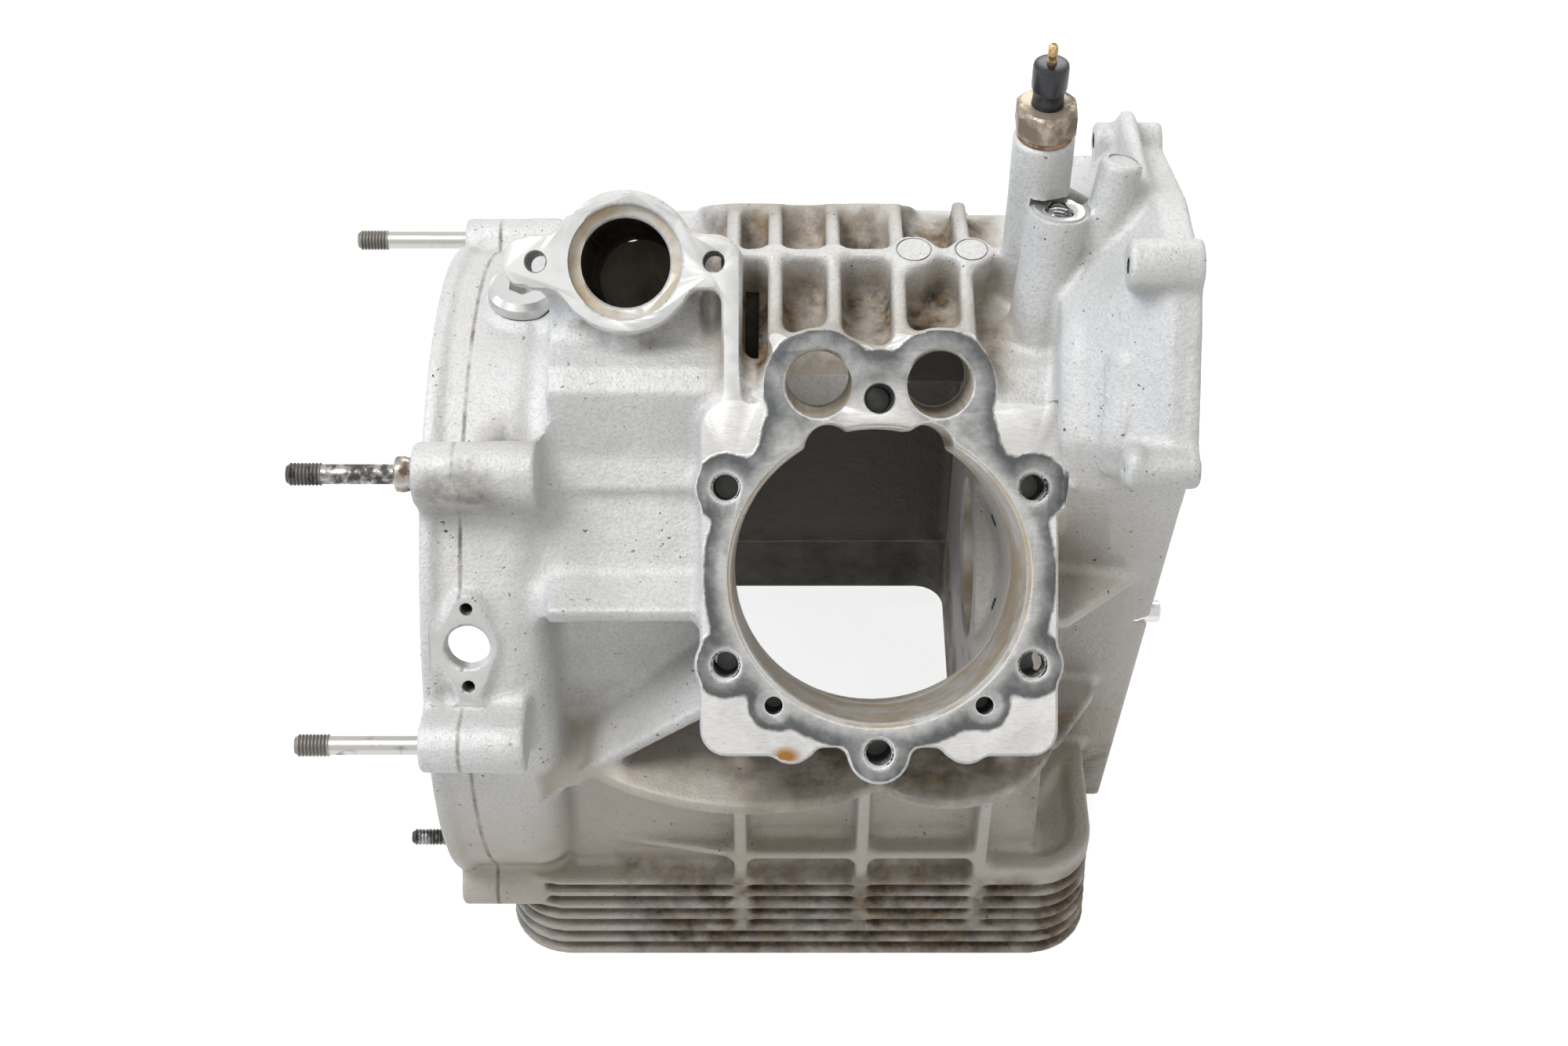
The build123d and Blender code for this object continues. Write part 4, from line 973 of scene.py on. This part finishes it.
# Blanking plug: bright turned steel, screwed into the top of the bell housing.
# Its head has a hexagon socket for the key.
plug_profile = [(0, -8), (9, -8), (9, 0), (12.7, 0), (13, 0.3), (13, 3.7), (12.9, 4.1), (10.9, 6), (0, 6)]
plug = finish_piece(spun(plug_profile, 96), "plug", "blanking_plug", bright_steel, plug_seat)
socket_flats = 10
bm = rod(socket_flats / math.sqrt(3), 10, 6)
bmesh.ops.transform(bm, matrix=plug_seat @ Matrix.Translation((0, 0, 6 * mm)), verts=bm.verts)
combine(plug, bm, "DIFFERENCE")

# Oil pressure sender, screwed into the top of the pillar over a copper washer.
# A brass hexagon body holds a black moulded insulator with a brass terminal pin.
washer_profile = [(6, 0), (9.1, 0), (9.4, 0.3), (9.4, 1.2), (9.1, 1.5), (6, 1.5)]
finish_piece(spun(washer_profile), "washer", "sender_washer", copper, pillar_seat)
half_flats = 9.5
bm = rod(half_flats / math.cos(math.radians(30)), 10.5, 6)
bmesh.ops.translate(bm, vec=(0, 0, 6.75 * mm), verts=bm.verts)
sender = finish_piece(bm, "sender", "sender_body", brass, pillar_seat)
# Its corners are turned off, its top is bored for the insulator, and a shank stands under it
for profile, segments, operation in (
    ([(0, 1.5), (8.9, 1.5), (11.5, 3.5), (11.5, 9.6), (8.9, 12), (0, 12)], 96, "INTERSECT"),
    ([(0, 9), (5, 9), (5, 13), (0, 13)], 64, "DIFFERENCE"),
    ([(0, -14), (6, -14), (6, 1.7), (0, 1.7)], 64, "UNION"),
):
    turned = spun(profile, segments)
    bmesh.ops.transform(turned, matrix=pillar_seat, verts=turned.verts)
    combine(sender, turned, operation)

# The insulator is clamped in the body, and the pin runs through it
insulator_profile = [
    (1.6, 9), (5, 9), (5, 12), (5.35, 12.05), (5.1, 14.2), (5.0, 16.6), (5.4, 17.6), (5.25, 17.9),
    (5.25, 18.3), (5.8, 18.6), (5.9, 19.2), (5.9, 26.1), (5.6, 27.1), (4.8, 27.5), (1.6, 27.5),
]
finish_piece(
    spun(insulator_profile), "insulator", "sender_insulator", plastic, pillar_seat
)
pin_profile = [
    (0, 9), (1.6, 9), (1.6, 28.6), (1.25, 29.1), (1.25, 30), (1.6, 30.6), (1.6, 33.7), (1.1, 34.5), (0, 34.5),
]
finish_piece(spun(pin_profile, 32), "pin", "sender_terminal", pin_brass, pillar_seat)

# Thread insert: a coil of stainless wire down the hole of the leaning boss.
# It gives the soft casting a hard thread.
bm = bmesh.new()
wire = bmesh.ops.create_circle(bm, segments=8, radius=0.62 * mm)["verts"]
bmesh.ops.rotate(bm, matrix=Matrix.Rotation(math.radians(90), 3, "X"), verts=wire)
bmesh.ops.translate(bm, vec=(4.2 * mm, 0, -1.7 * mm), verts=wire)
coil_turns, coil_steps, coil_pitch = 9, 36, 1.3
bmesh.ops.spin(
    bm,
    geom=bm.verts[:] + bm.edges[:],
    axis=(0, 0, 1),
    cent=(0, 0, 0),
    dvec=(0, 0, -coil_pitch / coil_steps * mm),
    angle=math.tau * coil_turns,
    steps=coil_turns * coil_steps,
)
bmesh.ops.holes_fill(bm, edges=[edge for edge in bm.edges if edge.is_boundary], sides=0)
bmesh.ops.recalc_face_normals(bm, faces=bm.faces)
finish_piece(bm, "coil", "thread_insert", coil_steel, insert_seat)

# Hollow dowel: a short steel tube pressed into the timing face.
# It places the cover on its flange.
dowel_profile = [(2.8, -7), (4, -7), (4, 3.4), (3.4, 4), (2.8, 4)]
dowel_seat = plane_at((timing_x, *dowel_at), (0, 1, 0), (1, 0, 0))
finish_piece(spun(dowel_profile), "dowel", "front_dowel", bright_steel, dowel_seat)
